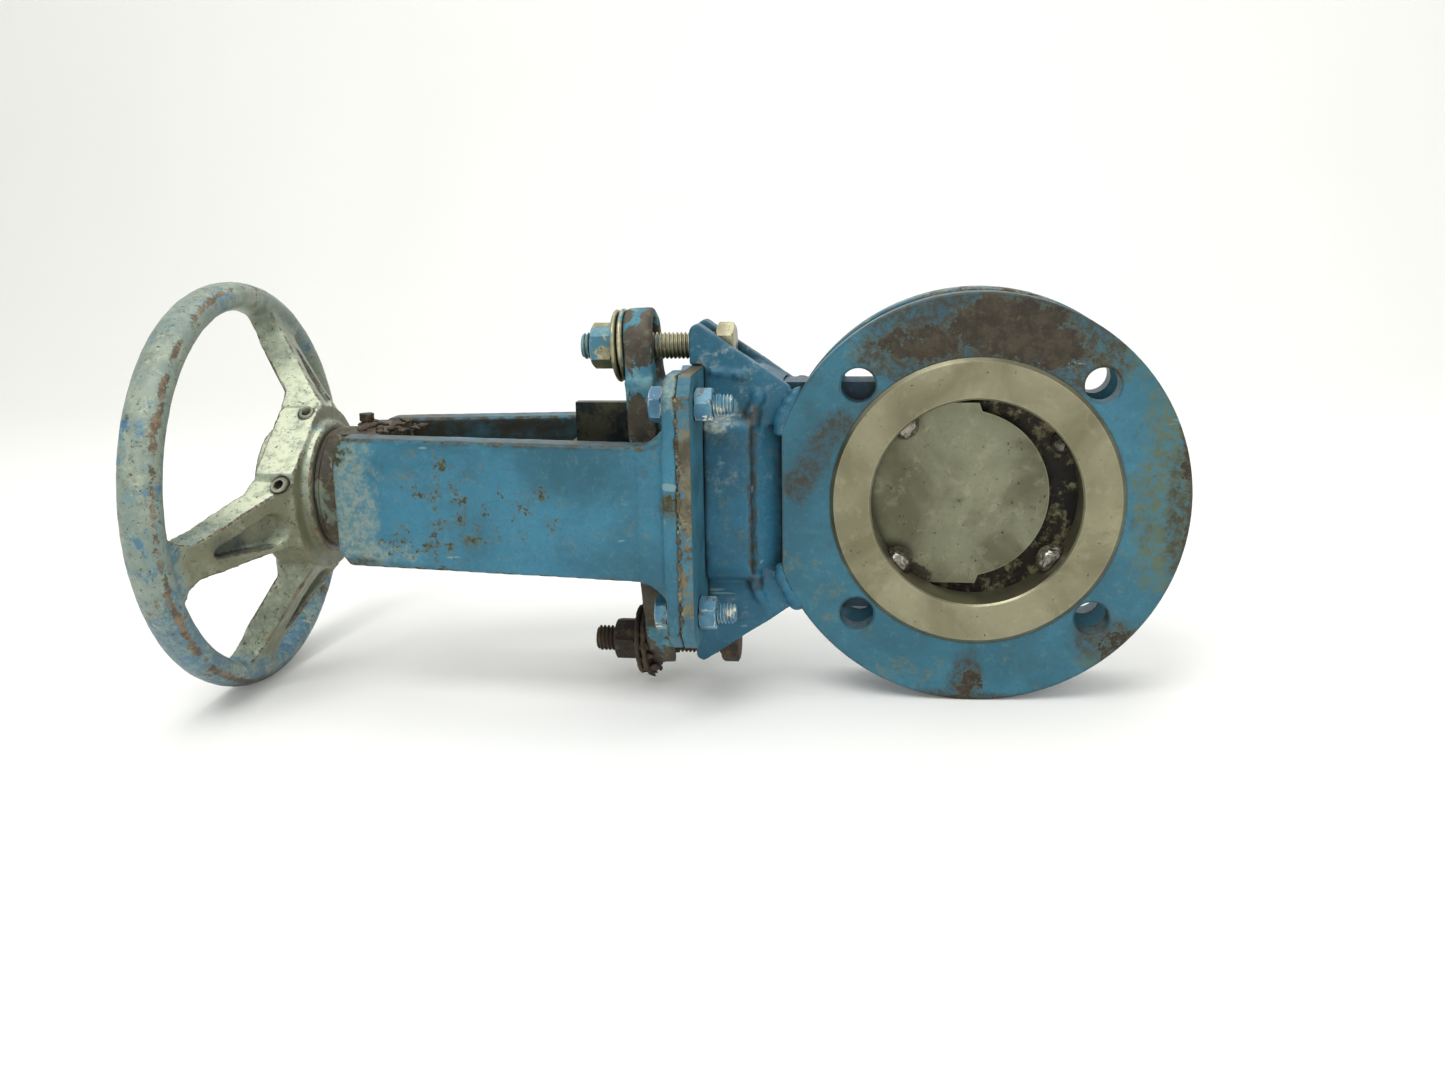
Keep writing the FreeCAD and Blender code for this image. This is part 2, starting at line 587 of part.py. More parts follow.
bolts, nuts, lock_washers = [], [], []
for y_text in ("-yokeBoltY", "yokeBoltY"):
    for z_text in ("-yokeBoltZ", "yokeBoltZ"):
        turn = 30.0 if "-" in z_text else 22.0
        under = "footX-1.65"
        shank = chamfer(cylinder("yokeBoltRadius", under, "-108.2", "x", y_text, z_text), 0.8,
                        lambda e: e.BoundBox.XLength < 0.01 and e.BoundBox.XMax > -109)
        bolts.append(fuse(shank, rounded_hex(14.3, "footX-7.75", under, "x", y_text, z_text, turn)))
        lock_washers.append(cut(cylinder("8.4", "footX-1.6", "footX-0.02", "x", y_text, z_text),
                                cylinder("yokeHoleRadius", "footX-1.6", "footX-0.02", "x", y_text, z_text)))
        whole = rounded_hex(14.3, "chestX+0.02", "chestX+8.2", "x", y_text, z_text, turn)
        nuts.append(bored(whole, "yokeBoltRadius+0.02", "chestX+0.02", "chestX+8.2", y_text, z_text))
node("yoke_bolts", group(*bolts))
node("yoke_bolt_washers", group(*lock_washers))
node("yoke_bolt_nuts", group(*nuts))

# ---------------------------------------------------------------- gate, stem and their fork
tip = cylinder("gateTipRadius", "-gateHalfThick", "gateHalfThick", "y", "gateTipCentre", "0")
blade = prism([("gateEnd", "-gateHalfWidth"), ("gateShoulder", "-gateHalfWidth"),
               ("gateShoulder+1.5", "-gateTipRadius+0.9"), ("gateShoulder+1.5", "gateTipRadius-0.9"),
               ("gateShoulder", "gateHalfWidth"), ("gateEnd", "gateHalfWidth")],
              "XZ", "-gateHalfThick", "gateHalfThick", "Blade")
gate_holes = [cylinder("5.0", "-gateHalfThick", "gateHalfThick", "y", "-180.0", z)
              for z in ("-14.0", "14.0")]
node("gate", cut(fuse(blade, tip), *gate_holes))

fork = box("forkX", "forkTipX", "-forkHalfY", "forkHalfY", "-forkHalfZ", "forkHalfZ")
fork = chamfer(fork, 2.5, lambda e: abs(e.BoundBox.YLength) > 20)
stem = fuse(cylinder("stemRadius", "stemEndX", "forkX+2", "x"), fork)
stem = cut(stem, box("gateEnd-0.1", "forkTipX", "-gateHalfThick-0.05", "gateHalfThick+0.05",
                     "-forkHalfZ", "forkHalfZ"),
           *[cylinder("5.0", "-forkHalfY", "forkHalfY", "y", "-180.0", z) for z in ("-14.0", "14.0")])
stem = chamfer(stem, 1.5, lambda e: e.BoundBox.XMax < size("stemEndX") + 0.01)
node("stem", stem)

pins, pin_nuts = [], []
for z in ("-14.0", "14.0"):
    shank = cylinder("4.76", "-forkHalfY-0.02", "forkHalfY+9.5", "y", "-180.0", z)
    pins.append(fuse(shank, rounded_hex(14.3, "-forkHalfY-6.1", "-forkHalfY-0.02", "y", "-180.0", z, 10.0)))
    whole = rounded_hex(14.3, "forkHalfY+0.02", "forkHalfY+8.2", "y", "-180.0", z, 10.0)
    pin_nuts.append(cut(whole, cylinder("4.78", "forkHalfY", "forkHalfY+8.3", "y", "-180.0", z)))
node("gate_bolts", group(*pins))
node("gate_bolt_nuts", group(*pin_nuts))

sleeve = fuse(cylinder("nutRadius", "nutEndX", "noseInnerX+2", "x"),
              cylinder("nutFlangeRadius", "noseInnerX+2", "noseInnerX+8", "x"))
sleeve = cut(sleeve, cylinder("stemBore", "nutEndX", "noseInnerX+8", "x"))
node("stem_nut", chamfer(sleeve, 0.8, lambda e: e.BoundBox.XLength < 0.01
                         and (e.BoundBox.XMin < size("nutEndX") + 0.01 or e.BoundBox.XMin > -276)))

# ---------------------------------------------------------------- handwheel
FLAT_ANGLE = 128.3
SPOKES = (  # angle of the arm, half-widths at its root on its two sides, sideways shift of its pocket
    (62.6, 14.0, 19.5, 0.0), (194.0, 19.5, 14.0, 0.0), (260.0, 17.0, 17.0, -4.5), (356.6, 17.0, 17.0, 4.5))

rim_sketch = doc.addObject("Sketcher::SketchObject", "RimSection")
rim_sketch.addGeometry(Part.Ellipse(V(0, size("rimRadius"), 0), size("rimAxial"), size("rimRadial")), False)
centre = rim_sketch.addConstraint(Sketcher.Constraint("DistanceY", -1, 1, 0, 3, size("rimRadius")))
rim_sketch.setExpression("Constraints[%d]" % centre, "Sizes.rimRadius")
rim_sketch.Placement = FreeCAD.Placement(V(size("rimX"), 0, 0), UPRIGHT)
rim_sketch.setExpression("Placement.Base.x", "Sizes.rimX")
rim = doc.addObject("Part::Revolution", "Rim")
rim.Source = rim_sketch
rim.Axis = V(1, 0, 0)
rim.Base = V(0, 0, 0)
rim.Angle = 360
rim.Solid = True


def spoke(angle, low_side, high_side, pocket_shift):
    """Tapered arm from the hub web to the rim, with a casting pocket on its valve side.

    low_side and high_side are the root half-widths towards smaller and larger angles.
    """
    side = [("webWheelX-2.0", "20.0"), ("webWheelX-2.0", "44.0"), ("-362.0", "72.0"), ("-374.0", "95.0"),
            ("-358.6", "95.0"), ("-354.5", "85.0"), ("-335.0", "57.0"), ("webValveX", "37.0"),
            ("webValveX", "20.0")]
    outline = [(1.0, 18.0), (0.98, 36.0), (0.80, 52.0)]
    plan = [("%g" % (-high_side * share), "%g" % r) for share, r in outline]
    plan += [("-10.4", "70.0"), ("-9.4", "80.0"), ("-11.5", "85.0"), ("-15.5", "88.6"), ("-15.5", "93.0"),
             ("15.5", "93.0"), ("15.5", "88.6"), ("11.5", "85.0"), ("9.4", "80.0"), ("10.4", "70.0")]
    plan += [("%g" % (low_side * share), "%g" % r) for share, r in reversed(outline)]
    arm = common(prism(side, "XZ", "-24.0", "24.0", "SpokeSide"),
                 prism(plan, "YZ", "-380.0", "-310.0", "SpokePlan"))
    hollow = [(-6.6, 44.0), (-8.0, 47.5), (-7.0, 52.0), (-1.4, 73.0), (1.4, 73.0), (7.0, 52.0), (8.0, 47.5),
              (6.6, 44.0), (3.2, 42.0), (-3.2, 42.0)]
    pocket_plan = [("%g" % (u + pocket_shift), "%g" % v) for u, v in hollow]
    pocket_side = [("-343.0", "58.0"), ("-328.0", "37.0"), ("-300.0", "37.0"), ("-300.0", "87.0"),
                   ("-352.0", "87.0"), ("-351.5", "72.5")]
    pocket = common(prism(pocket_side, "XZ", "-24.0", "24.0", "PocketSide"),
                    prism(pocket_plan, "YZ", "-380.0", "-300.0", "PocketPlan"))
    return turned(cut(arm, pocket), angle - 90.0)


web = cylinder("hubRadius", "webWheelX", "webValveX", "x")
shave = turned(box("webWheelX-1", "webValveX+1", "-60.0", "60.0", "hubFlat", "60.0"), FLAT_ANGLE - 90.0)
hub = fuse(cut(web, shave), cylinder("hubRingRadius", "webValveX", "hubValveX", "x"),
           cylinder("hubRingRadius-2", "hubWheelX", "webWheelX", "x"))
wheel = fuse(hub, rim, *[spoke(*arm) for arm in SPOKES])
wheel = cut(wheel, cylinder("nutRadius+0.01", "-360.0", "-310.0", "x"))


def screw_axis(angle, low, high, radius):
    """Cylinder lying on a radius of the hub at the screw station."""
    core = cylinder(radius, low, high, "z", "screwX", "0")
    return turned(core, angle - 90.0)


SCREWS = (99.6, 167.4)
wheel = cut(wheel, *[screw_axis(angle, "nutRadius-1", "60.0", "4.0") for angle in SCREWS])
node("handwheel", wheel)
grub = []
for angle in SCREWS:
    shank = turned(cylinder("3.95", "nutRadius+0.05", "50.0", "z", "screwX", "0"), angle - 90.0)
    flat = turned(box("webWheelX-1", "webValveX+1", "-60.0", "60.0", "hubFlat-0.3", "60.0"), FLAT_ANGLE - 90.0)
    grub.append(cut(shank, flat))
node("set_screws", group(*grub))

# ---------------------------------------------------------------- checks and export
doc.recompute()
for obj in doc.Objects:
    if "Invalid" in obj.State or "Error" in obj.State:
        raise RuntimeError("%s (%s) did not recompute: %s" % (obj.Name, obj.Label, obj.State))
for obj in NODES:
    if obj.Shape.isNull() or not obj.Shape.isValid() or not obj.Shape.Solids:
        raise RuntimeError("%s has no valid solid" % obj.Label)

os.makedirs("parts", exist_ok=True)
for obj in NODES:
    obj.Shape.exportStep("parts/%s.step" % obj.Label)
    print("%-24s solids %d volume %.0f" % (obj.Label, len(obj.Shape.Solids), obj.Shape.Volume))
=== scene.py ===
import math

import bmesh
import bpy
import numpy as np
from mathutils import Matrix, Vector, noise


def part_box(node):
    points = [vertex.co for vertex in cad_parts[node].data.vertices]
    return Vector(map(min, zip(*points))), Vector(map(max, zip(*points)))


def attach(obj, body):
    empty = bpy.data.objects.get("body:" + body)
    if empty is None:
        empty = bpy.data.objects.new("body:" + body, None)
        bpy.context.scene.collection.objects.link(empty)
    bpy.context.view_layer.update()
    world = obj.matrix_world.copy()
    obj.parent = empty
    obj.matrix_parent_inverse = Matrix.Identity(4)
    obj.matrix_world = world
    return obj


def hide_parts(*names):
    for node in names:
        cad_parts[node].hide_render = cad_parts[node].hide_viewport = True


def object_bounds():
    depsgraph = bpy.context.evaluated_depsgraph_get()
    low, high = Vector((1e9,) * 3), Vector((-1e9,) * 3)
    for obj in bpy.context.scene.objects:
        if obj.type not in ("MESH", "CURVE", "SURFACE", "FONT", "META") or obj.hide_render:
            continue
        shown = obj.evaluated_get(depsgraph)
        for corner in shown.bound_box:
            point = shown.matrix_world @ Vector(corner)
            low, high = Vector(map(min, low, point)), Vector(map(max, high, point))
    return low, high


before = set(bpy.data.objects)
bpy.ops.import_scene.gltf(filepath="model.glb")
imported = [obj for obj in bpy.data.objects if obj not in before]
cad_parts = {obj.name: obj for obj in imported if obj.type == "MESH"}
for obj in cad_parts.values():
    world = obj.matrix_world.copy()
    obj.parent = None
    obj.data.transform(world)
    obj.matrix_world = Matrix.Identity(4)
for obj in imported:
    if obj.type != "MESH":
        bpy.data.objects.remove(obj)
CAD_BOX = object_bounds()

# Looks of a used knife gate valve. Metres, in the frame of the CAD model: X runs along
# the stem with the handwheel towards -X, Y runs along the bore, Z is up.

MM = 0.001
RIM_X, RIM_RADIUS = -365.6 * MM, 95 * MM
FLAT_TURN = math.radians(128.3)
FLAT_NORMAL = (0.0, math.cos(FLAT_TURN), math.sin(FLAT_TURN))
SPOKE_ANGLES = (62.6, 194.0, 260.0, 356.6)
BODY, WHEEL, GATE = "valve_body", "handwheel_link", "gate_link"


def middle(node):
    """Middle of a CAD node's box."""
    low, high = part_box(node)
    return (low + high) / 2


# ---- colours
def srgb(red, green, blue):
    """Linear colour of an 8-bit display colour."""
    def linear(value):
        value /= 255
        return value / 12.92 if value <= 0.04045 else ((value + 0.055) / 1.055) ** 2.4
    return (linear(red), linear(green), linear(blue), 1.0)


BLUE = (56, 114, 134)
BLUE_DEEP = (38, 86, 102)
BLUE_PALE = (100, 144, 148)
OLIVE = (100, 106, 84)
RUST = (80, 70, 50)
RUST_DARK = (54, 48, 36)
OLIVE_BROWN = (104, 92, 66)
CREAM = (214, 212, 192)
# dark tone of grime marks, also laid as painted shade in corners and crevices
GRIME_AND_SHADE = (40, 36, 30)


# ---- material building blocks
class Shader:
    """A material built by short calls, which take corner radii, reaches and relief depths in mm."""

    def __init__(self, name, shift=0.0):
        self.material = bpy.data.materials.new(name)
        self.material.use_nodes = True
        self.tree = self.material.node_tree
        self.tree.nodes.clear()
        self.surface = self.node("BsdfPrincipled")
        self.node("OutputMaterial", Surface=self.surface.outputs[0])
        own = self.node("TexCoord")
        self.place, self.outward = own.outputs["Object"], own.outputs["Normal"]
        self.shifted = self.vector("ADD", self.place, (shift, shift * 0.7, -shift * 1.3))
        self.geometry = self.node("NewGeometry")

    def feed(self, socket, value):
        if isinstance(value, bpy.types.NodeSocket):
            self.tree.links.new(value, socket)
        else:
            socket.default_value = value

    def node(self, kind, **inputs):
        """New node with values or links for its inputs."""
        made = self.tree.nodes.new("ShaderNode" + kind)
        for name, value in inputs.items():
            self.feed(made.inputs[name.replace("_", " ")], value)
        return made

    def vector(self, operation, a, b=None):
        made = self.node("VectorMath")
        made.operation = operation
        self.feed(made.inputs[0], a)
        if b is not None:
            self.feed(made.inputs[1], b)
        return made.outputs["Value" if operation in ("DOT_PRODUCT", "LENGTH") else "Vector"]

    def math(self, operation, a, b=0.0):
        made = self.node("Math")
        made.operation = operation
        self.feed(made.inputs[0], a)
        self.feed(made.inputs[1], b)
        return made.outputs[0]

    def noise(self, scale, detail=4.0, rough=0.55, warp=0.0, stretch=None):
        where = self.vector("MULTIPLY", self.shifted, stretch) if stretch else self.shifted
        return self.node("TexNoise", Vector=where, Scale=scale, Detail=detail, Roughness=rough,
                         Distortion=warp).outputs[0]

    def along(self, axis):
        """Place along X, Y or Z of the frame."""
        return self.node("SeparateXYZ", Vector=self.place).outputs[axis]

    def step(self, value, low, high, bottom=0.0, top=1.0):
        made = self.node("MapRange", Value=value, From_Min=low, From_Max=high, To_Min=bottom,
                         To_Max=top)
        made.interpolation_type = "SMOOTHSTEP"
        return made.outputs["Result"]

    def spots(self, texture, low, high, bottom=0.0, top=1.0):
        """Noise of the given scale, detail, roughness and warp, cut between two levels."""
        return self.step(self.noise(*texture), low, high, bottom, top)

    def mix(self, share, a, b):
        """From colour a to colour b by a share; either is a socket or an 8-bit display colour."""
        made = self.node("Mix")
        made.data_type = "RGBA"
        self.feed(made.inputs[0], share)
        for socket, colour in ((6, a), (7, b)):
            self.feed(made.inputs[socket], srgb(*colour) if isinstance(colour, tuple) else colour)
        return made.outputs[2]

    def over(self, colour, top, share, weight=1.0):
        """Colour with another laid over it by a share, thinned by a weight."""
        return self.mix(self.times(share, weight) if weight != 1.0 else share, colour, top)

    def coat(self, top, share, weight=1.0):
        """Lay a colour over what the surface has so far."""
        self.colour = self.over(self.colour, top, share, weight)

    def times(self, a, b):
        return self.math("MULTIPLY", a, b)

    def plus(self, a, b):
        return self.math("ADD", a, b)

    def facing(self, way):
        """1 on faces that look this way, 0 on those square to it."""
        return self.vector("DOT_PRODUCT", self.outward, way)

    def varied(self, texture, spread, floor):
        """Noise spread over a range above a floor."""
        return self.plus(self.times(self.noise(*texture), spread), floor)

    def edges(self, radius):
        """1 along outer corners, 0 on flat faces."""
        lean = self.vector("DOT_PRODUCT", self.rounding(radius), self.geometry.outputs["Normal"])
        return self.step(lean, 0.995, 0.8)

    def ridges(self, low=0.515, high=0.56):
        """1 on the rounded outer corners of a finely meshed skin."""
        return self.step(self.geometry.outputs["Pointiness"], low, high)

    def crevices(self, reach):
        """1 deep in corners, 0 in the open."""
        shade = self.node("AmbientOcclusion", Distance=reach * MM)
        shade.samples = 6
        return self.step(shade.outputs["AO"], 0.85, 0.25)

    def blob(self, centre, radii):
        """1 at a place of the frame, falling to 0 at the given distances from it along X, Y and Z."""
        offset = self.vector("SUBTRACT", self.place, centre)
        scaled = self.vector("MULTIPLY", offset, tuple(1.0 / radius for radius in radii))
        far = self.vector("LENGTH", scaled)
        return self.step(far, 1.0, 0.35)

    def streak(self, start, stop, width):
        """1 along a line between two places of the flange face, falling to 0 at width from it."""
        start, stop = Vector(start), Vector(stop)
        along = (stop - start).normalized()
        offset = self.vector("SUBTRACT", self.place, tuple((start + stop) / 2))
        run = self.math("ABSOLUTE", self.vector("DOT_PRODUCT", offset, tuple(along)))
        past = self.math("MAXIMUM", self.math("SUBTRACT", run, (stop - start).length / 2), 0.0)
        side = self.vector("DOT_PRODUCT", offset, (-along.z, 0.0, along.x))
        far = self.math("SQRT", self.plus(self.times(past, past), self.times(side, side)))
        return self.step(far, width, width * 0.2)

    def blobs(self, marks):
        """Strongest of several marks: place, reach along the axes (or far end and width), and weight."""
        total = 0.0
        for centre, radii, weight in marks:
            if len(radii) == 2:
                spot = self.times(self.streak(centre, radii[0], radii[1]), weight)
            else:
                spot = self.times(self.blob(centre, radii), weight)
            total = spot if total == 0.0 else self.math("MAXIMUM", total, spot)
        return total

    def rounding(self, radius):
        """Normal that runs smoothly over corners."""
        bevel = self.node("Bevel", Radius=radius * MM)
        bevel.samples = 4
        return bevel.outputs[0]

    def bump(self, height, strength, depth, corner=0.0):
        """Relief of the given depth, on corners rounded by a radius."""
        made = self.node("Bump", Strength=strength, Distance=depth * MM, Height=height)
        if corner:
            self.feed(made.inputs["Normal"], self.rounding(corner))
        return made.outputs[0]

    def done(self, **values):
        """The material, with its colour and the given values on the surface."""
        for name, value in dict(values, Base_Color=self.colour).items():
            self.feed(self.surface.inputs[name.replace("_", " ")], value)
        return self.material


def enamel(name, shift, base=BLUE, deep=BLUE_DEEP, chips=0.5, edge=0.6, stains=0.5, corner_grime_and_shade=0.6, bare=(),
           faded=(), faded_colour=(150, 160, 148), soil_and_shade=(), skin=False, grime_and_shade_side=None,
           metal=(RUST_DARK, RUST, OLIVE_BROWN)):
    """Old brushed paint on steel: uneven colour, chips down to rust, worn edges, and grime with painted
    shade in corners.

    bare, faded and soiled are marks as Shader.blobs takes them. skin is for a mesh that is fine all over.
    A side way, where given, picks the faces that get a dark film of grease and painted shade. metal holds
    the tones under the chips.
    """
    s = Shader(name, shift)
    s.colour = s.mix(s.spots((16, 4, 0.58, 0.3), 0.3, 0.68, 0.0, 0.85), deep, base)
    s.coat(BLUE_PALE, s.spots((260, 8, 0.76), 0.53, 0.62), 0.15)
    s.coat(deep, s.spots((640, 6, 0.78), 0.52, 0.62), 0.38)
    if faded:
        ragged = s.plus(s.blobs(faded), s.spots((75, 12, 0.8, 0.2), 0.3, 0.7, -0.55, 0.55))
        dust = s.times(s.step(ragged, 0.2, 1.0), s.spots((260, 8, 0.78), 0.4, 0.58, 0.25, 0.95))
        s.coat(faded_colour, dust)
    stain = s.spots((40, 12, 0.8, 0.3), 0.62 - 0.12 * stains, 0.7 - 0.12 * stains)
    grain = s.spots((300, 5, 0.68), 0.4, 0.6, 0.35, 1.0)
    s.coat(OLIVE, s.times(stain, grain), 0.7)
    # soil marks; on the yoke arms they also lay painted shade on the inner faces
    if soil_and_shade:
        soil_and_shade_mask = s.plus(s.blobs(soil_and_shade), s.spots((60, 12, 0.78, 0.2), 0.3, 0.7, -0.45, 0.45))
        grit = s.spots((260, 9, 0.8), 0.4, 0.58, 0.35, 1.0)
        s.coat((56, 51, 36), s.step(soil_and_shade_mask, 0.05, 0.85, 0.0, 0.96), grit)
    # grease and painted shade: a dark film on the faces that look the given way, the inner faces between
    # the yoke arms
    if grime_and_shade_side:
        towards = s.facing(grime_and_shade_side)
        grime_and_shade_film = s.times(s.step(towards, 0.8, 0.97), s.spots((60, 9, 0.72), 0.3, 0.56, 0.55, 0.97))
        s.coat((40, 38, 28), grime_and_shade_film)
    # brush strokes and thin scratches
    strokes = s.noise(190, 3, 0.5, 0.1, (0.12, 1.0, 1.0))
    s.coat(deep, s.step(strokes, 0.56, 0.66), 0.2)
    scratch = s.step(s.noise(210, 2, 0.4, 0.3, (0.1, 1.0, 0.7)), 0.715, 0.735)
    s.coat((142, 164, 160), scratch, 0.45)
    crumbs = s.spots((330, 6, 0.76), 0.655 - 0.03 * chips, 0.675 - 0.03 * chips)
    worn = s.ridges() if skin else s.edges(1.8)
    loss = s.plus(s.noise(150, 12, 0.8, 0.15), s.times(worn, 0.3 * edge))
    if bare:
        loss = s.plus(loss, s.times(s.blobs(bare), 0.36))
    level = 0.715 - 0.07 * chips
    chip = s.step(loss, level, level + 0.02)
    halo = s.step(loss, level - 0.055, level + 0.01)
    chip = s.math("MAXIMUM", chip, s.times(crumbs, 0.85))
    rust = s.mix(s.spots((130, 9, 0.76), 0.42, 0.6), metal[0], metal[1])
    rust = s.over(rust, metal[2], s.spots((330, 7, 0.76), 0.54, 0.66), 0.6)
    s.coat(OLIVE, halo, 0.4)
    s.coat(rust, chip)
    # grime and painted shade: corners darkened by ambient occlusion, broken up by noise
    crevice_dirt_and_shade = s.times(s.crevices(7), s.spots((110, 6, 0.66), 0.3, 0.6, 0.45, 1.0))
    s.coat(GRIME_AND_SHADE, crevice_dirt_and_shade, corner_grime_and_shade)
    uneven = s.varied((170, 5, 0.55), 0.2, 0.34)
    height = s.plus(s.times(chip, -0.6), s.times(s.noise(300, 5, 0.62), 0.3))
    height = s.plus(height, s.times(strokes, 0.35))
    return s.done(Roughness=s.plus(uneven, s.times(chip, 0.22)), Specular_IOR_Level=0.32,
                  Normal=s.bump(height, 0.5, 0.32, 0.5))


def steel(name, shift, tone=(132, 124, 112), dark=(74, 68, 60), light=(178, 172, 160), pits=0.5,
          stains=0.5, rough=0.36, metallic=0.75, turned=None, marks=(), bump=0.35, outside=None,
          mottle=0.4):
    """Bare worked steel with pits and smears.

    turned is the axis of its lathe rings, and outside the X below which it stands in the weather.
    """
    s = Shader(name, shift)
    s.colour = s.mix(s.spots((22, 4, 0.55, 0.6), 0.34, 0.62), dark, tone)
    s.coat(light, s.spots((130, 7, 0.7, 0.2), 0.52, 0.66), mottle)
    s.coat(dark, s.spots((420, 5, 0.7), 0.54, 0.64), mottle)
    smear = s.spots((36, 9, 0.7, 0.5), 0.66 - 0.14 * stains, 0.78)
    s.coat((84, 78, 54), smear, 0.5)
    worn = s.edges(1.2)
    s.coat(light, worn, 0.6)
    hollow = s.spots((330, 7, 0.78), 0.635 - 0.05 * pits, 0.665)
    s.coat((34, 30, 26), hollow, 0.85)
    if marks:
        ragged = s.plus(s.blobs(marks), s.times(s.noise(170, 10, 0.8), 0.9))
        s.coat(GRIME_AND_SHADE, s.step(ragged, 0.9, 1.02), 0.85)
    # painted shade: corners and crevices darkened by ambient occlusion
    crevice_dirt_and_shade = s.times(s.crevices(6), 0.75)
    s.coat(GRIME_AND_SHADE, crevice_dirt_and_shade)
    if outside is not None:
        weathered = s.mix(s.spots((70, 10, 0.76), 0.42, 0.6), (24, 34, 38), (70, 70, 54))
        s.coat(weathered, s.step(s.along("X"), outside, outside - 4 * MM))
    height = s.plus(s.times(hollow, -0.8), s.times(s.noise(600, 4, 0.6), 0.25))
    if turned:
        keep = {"x": (0.0, 1.0, 1.0), "y": (1.0, 0.0, 1.0)}[turned]
        radius = s.vector("LENGTH", s.vector("MULTIPLY", s.place, keep))
        rings = s.math("SINE", s.times(radius, 2 * math.pi / (0.45 * MM)))
        height = s.plus(height, s.times(rings, 0.1))
    uneven = s.varied((75, 6, 0.62), 0.34, rough - 0.16)
    return s.done(Roughness=s.plus(uneven, s.times(crevice_dirt_and_shade, 0.3)), Metallic=metallic,
                  Normal=s.bump(height, bump, 0.25, 0.4))


def rusty(name, shift, tones, patch=None, amount=0.5, rough=0.82):
    """Rusted or cast surface with crusted grain; patch is leftover paint."""
    s = Shader(name, shift)
    s.colour = s.mix(s.spots((42, 6, 0.6, 0.4), 0.38, 0.62), tones[0], tones[1])
    s.coat(tones[2], s.spots((190, 6, 0.66), 0.5, 0.7), 0.7)
    paint = 0.0
    if patch:
        edge = 0.6 - 0.12 * amount
        paint = s.spots((52, 8, 0.62, 0.5), edge, edge + 0.03)
        s.coat(s.mix(s.spots((130, 4, 0.6), 0.4, 0.65), patch[0], patch[1]), paint)
    s.coat(tones[2], s.edges(1.0), 0.4)
    # painted shade: corners and crevices darkened by ambient occlusion
    s.coat(GRIME_AND_SHADE, s.crevices(6), 0.7)
    height = s.plus(s.noise(230, 8, 0.7), s.times(paint, 0.25) if patch else 0.0)
    return s.done(Normal=s.bump(height, 0.8, 0.6, 0.4),
                  Roughness=s.varied((90, 4, 0.6), 0.2, rough - 0.12))


def zinc(name, shift, paint_share, blue_before=None):
    """Yellowed zinc plate with brushed-on blue paint left in places, all over below the given X."""
    s = Shader(name, shift)
    s.colour = s.mix(s.spots((60, 5, 0.6), 0.36, 0.62), (118, 112, 84), (176, 172, 138))
    s.coat((206, 204, 182), s.spots((160, 5, 0.65), 0.55, 0.7), 0.6)
    grit = s.spots((420, 4, 0.65), 0.6, 0.68)
    s.coat((66, 56, 40), grit, 0.75)
    edge = 0.62 - 0.14 * paint_share
    cover = s.noise(75, 6, 0.58, 0.6)
    if blue_before is not None:
        painted = s.step(s.along("X"), blue_before + 2 * MM, blue_before - 2 * MM, 0.0, 0.2)
        cover = s.plus(cover, painted)
    paint = s.step(cover, edge, edge + 0.03)
    s.coat(s.mix(s.spots((140, 4, 0.6), 0.42, 0.6), BLUE, BLUE_PALE), paint)
    # painted shade: corners and crevices darkened by ambient occlusion
    s.coat(GRIME_AND_SHADE, s.crevices(4), 0.85)
    s.coat((216, 212, 190), s.edges(0.8), 0.45)
    height = s.plus(s.times(paint, 0.5), s.times(s.noise(500, 4, 0.6), 0.3))
    return s.done(Normal=s.bump(height, 0.5, 0.2, 0.3),
                  Metallic=s.math("SUBTRACT", 0.55, s.times(paint, 0.55)),
                  Roughness=s.varied((180, 4, 0.6), 0.3, 0.24))


def painted_bolt(name, shift):
    """Fastener under bright blue paint, with cream primer showing in chips."""
    s = Shader(name, shift)
    s.colour = s.mix(s.spots((70, 4, 0.55), 0.38, 0.64), (50, 104, 134), (92, 144, 164))
    chip = s.step(s.plus(s.noise(120, 5, 0.62, 0.3), s.times(s.edges(0.9), 0.16)), 0.6, 0.62)
    s.coat(CREAM, chip)
    s.coat(RUST, s.spots((200, 5, 0.6), 0.6, 0.66), 0.8)
    # painted shade: the paint darkened to deep blue in corners and crevices by ambient occlusion
    s.coat(BLUE_DEEP, s.crevices(4), 0.7)
    height = s.plus(s.times(chip, -0.5), s.times(s.noise(480, 4, 0.6), 0.35))
    return s.done(Normal=s.bump(height, 0.5, 0.2, 0.3), Roughness=s.varied((180, 4, 0.6), 0.25, 0.26))


POCKET_X, POCKET_REACH = -346 * MM, 60 * MM


def pocket_shade_marks():
    """Painted shade on the floors of the casting pockets, one behind each arm of the handwheel."""
    marks = []
    for angle in SPOKE_ANGLES:
        a = math.radians(angle)
        out = Vector((0.0, math.cos(a), math.sin(a)))
        reach = 9 * MM + 11 * MM * abs(out.y), 9 * MM + 11 * MM * abs(out.z)
        marks.append((tuple(Vector((POCKET_X, 0.0, 0.0)) + out * POCKET_REACH), (8 * MM, *reach), 1.0))
    return marks


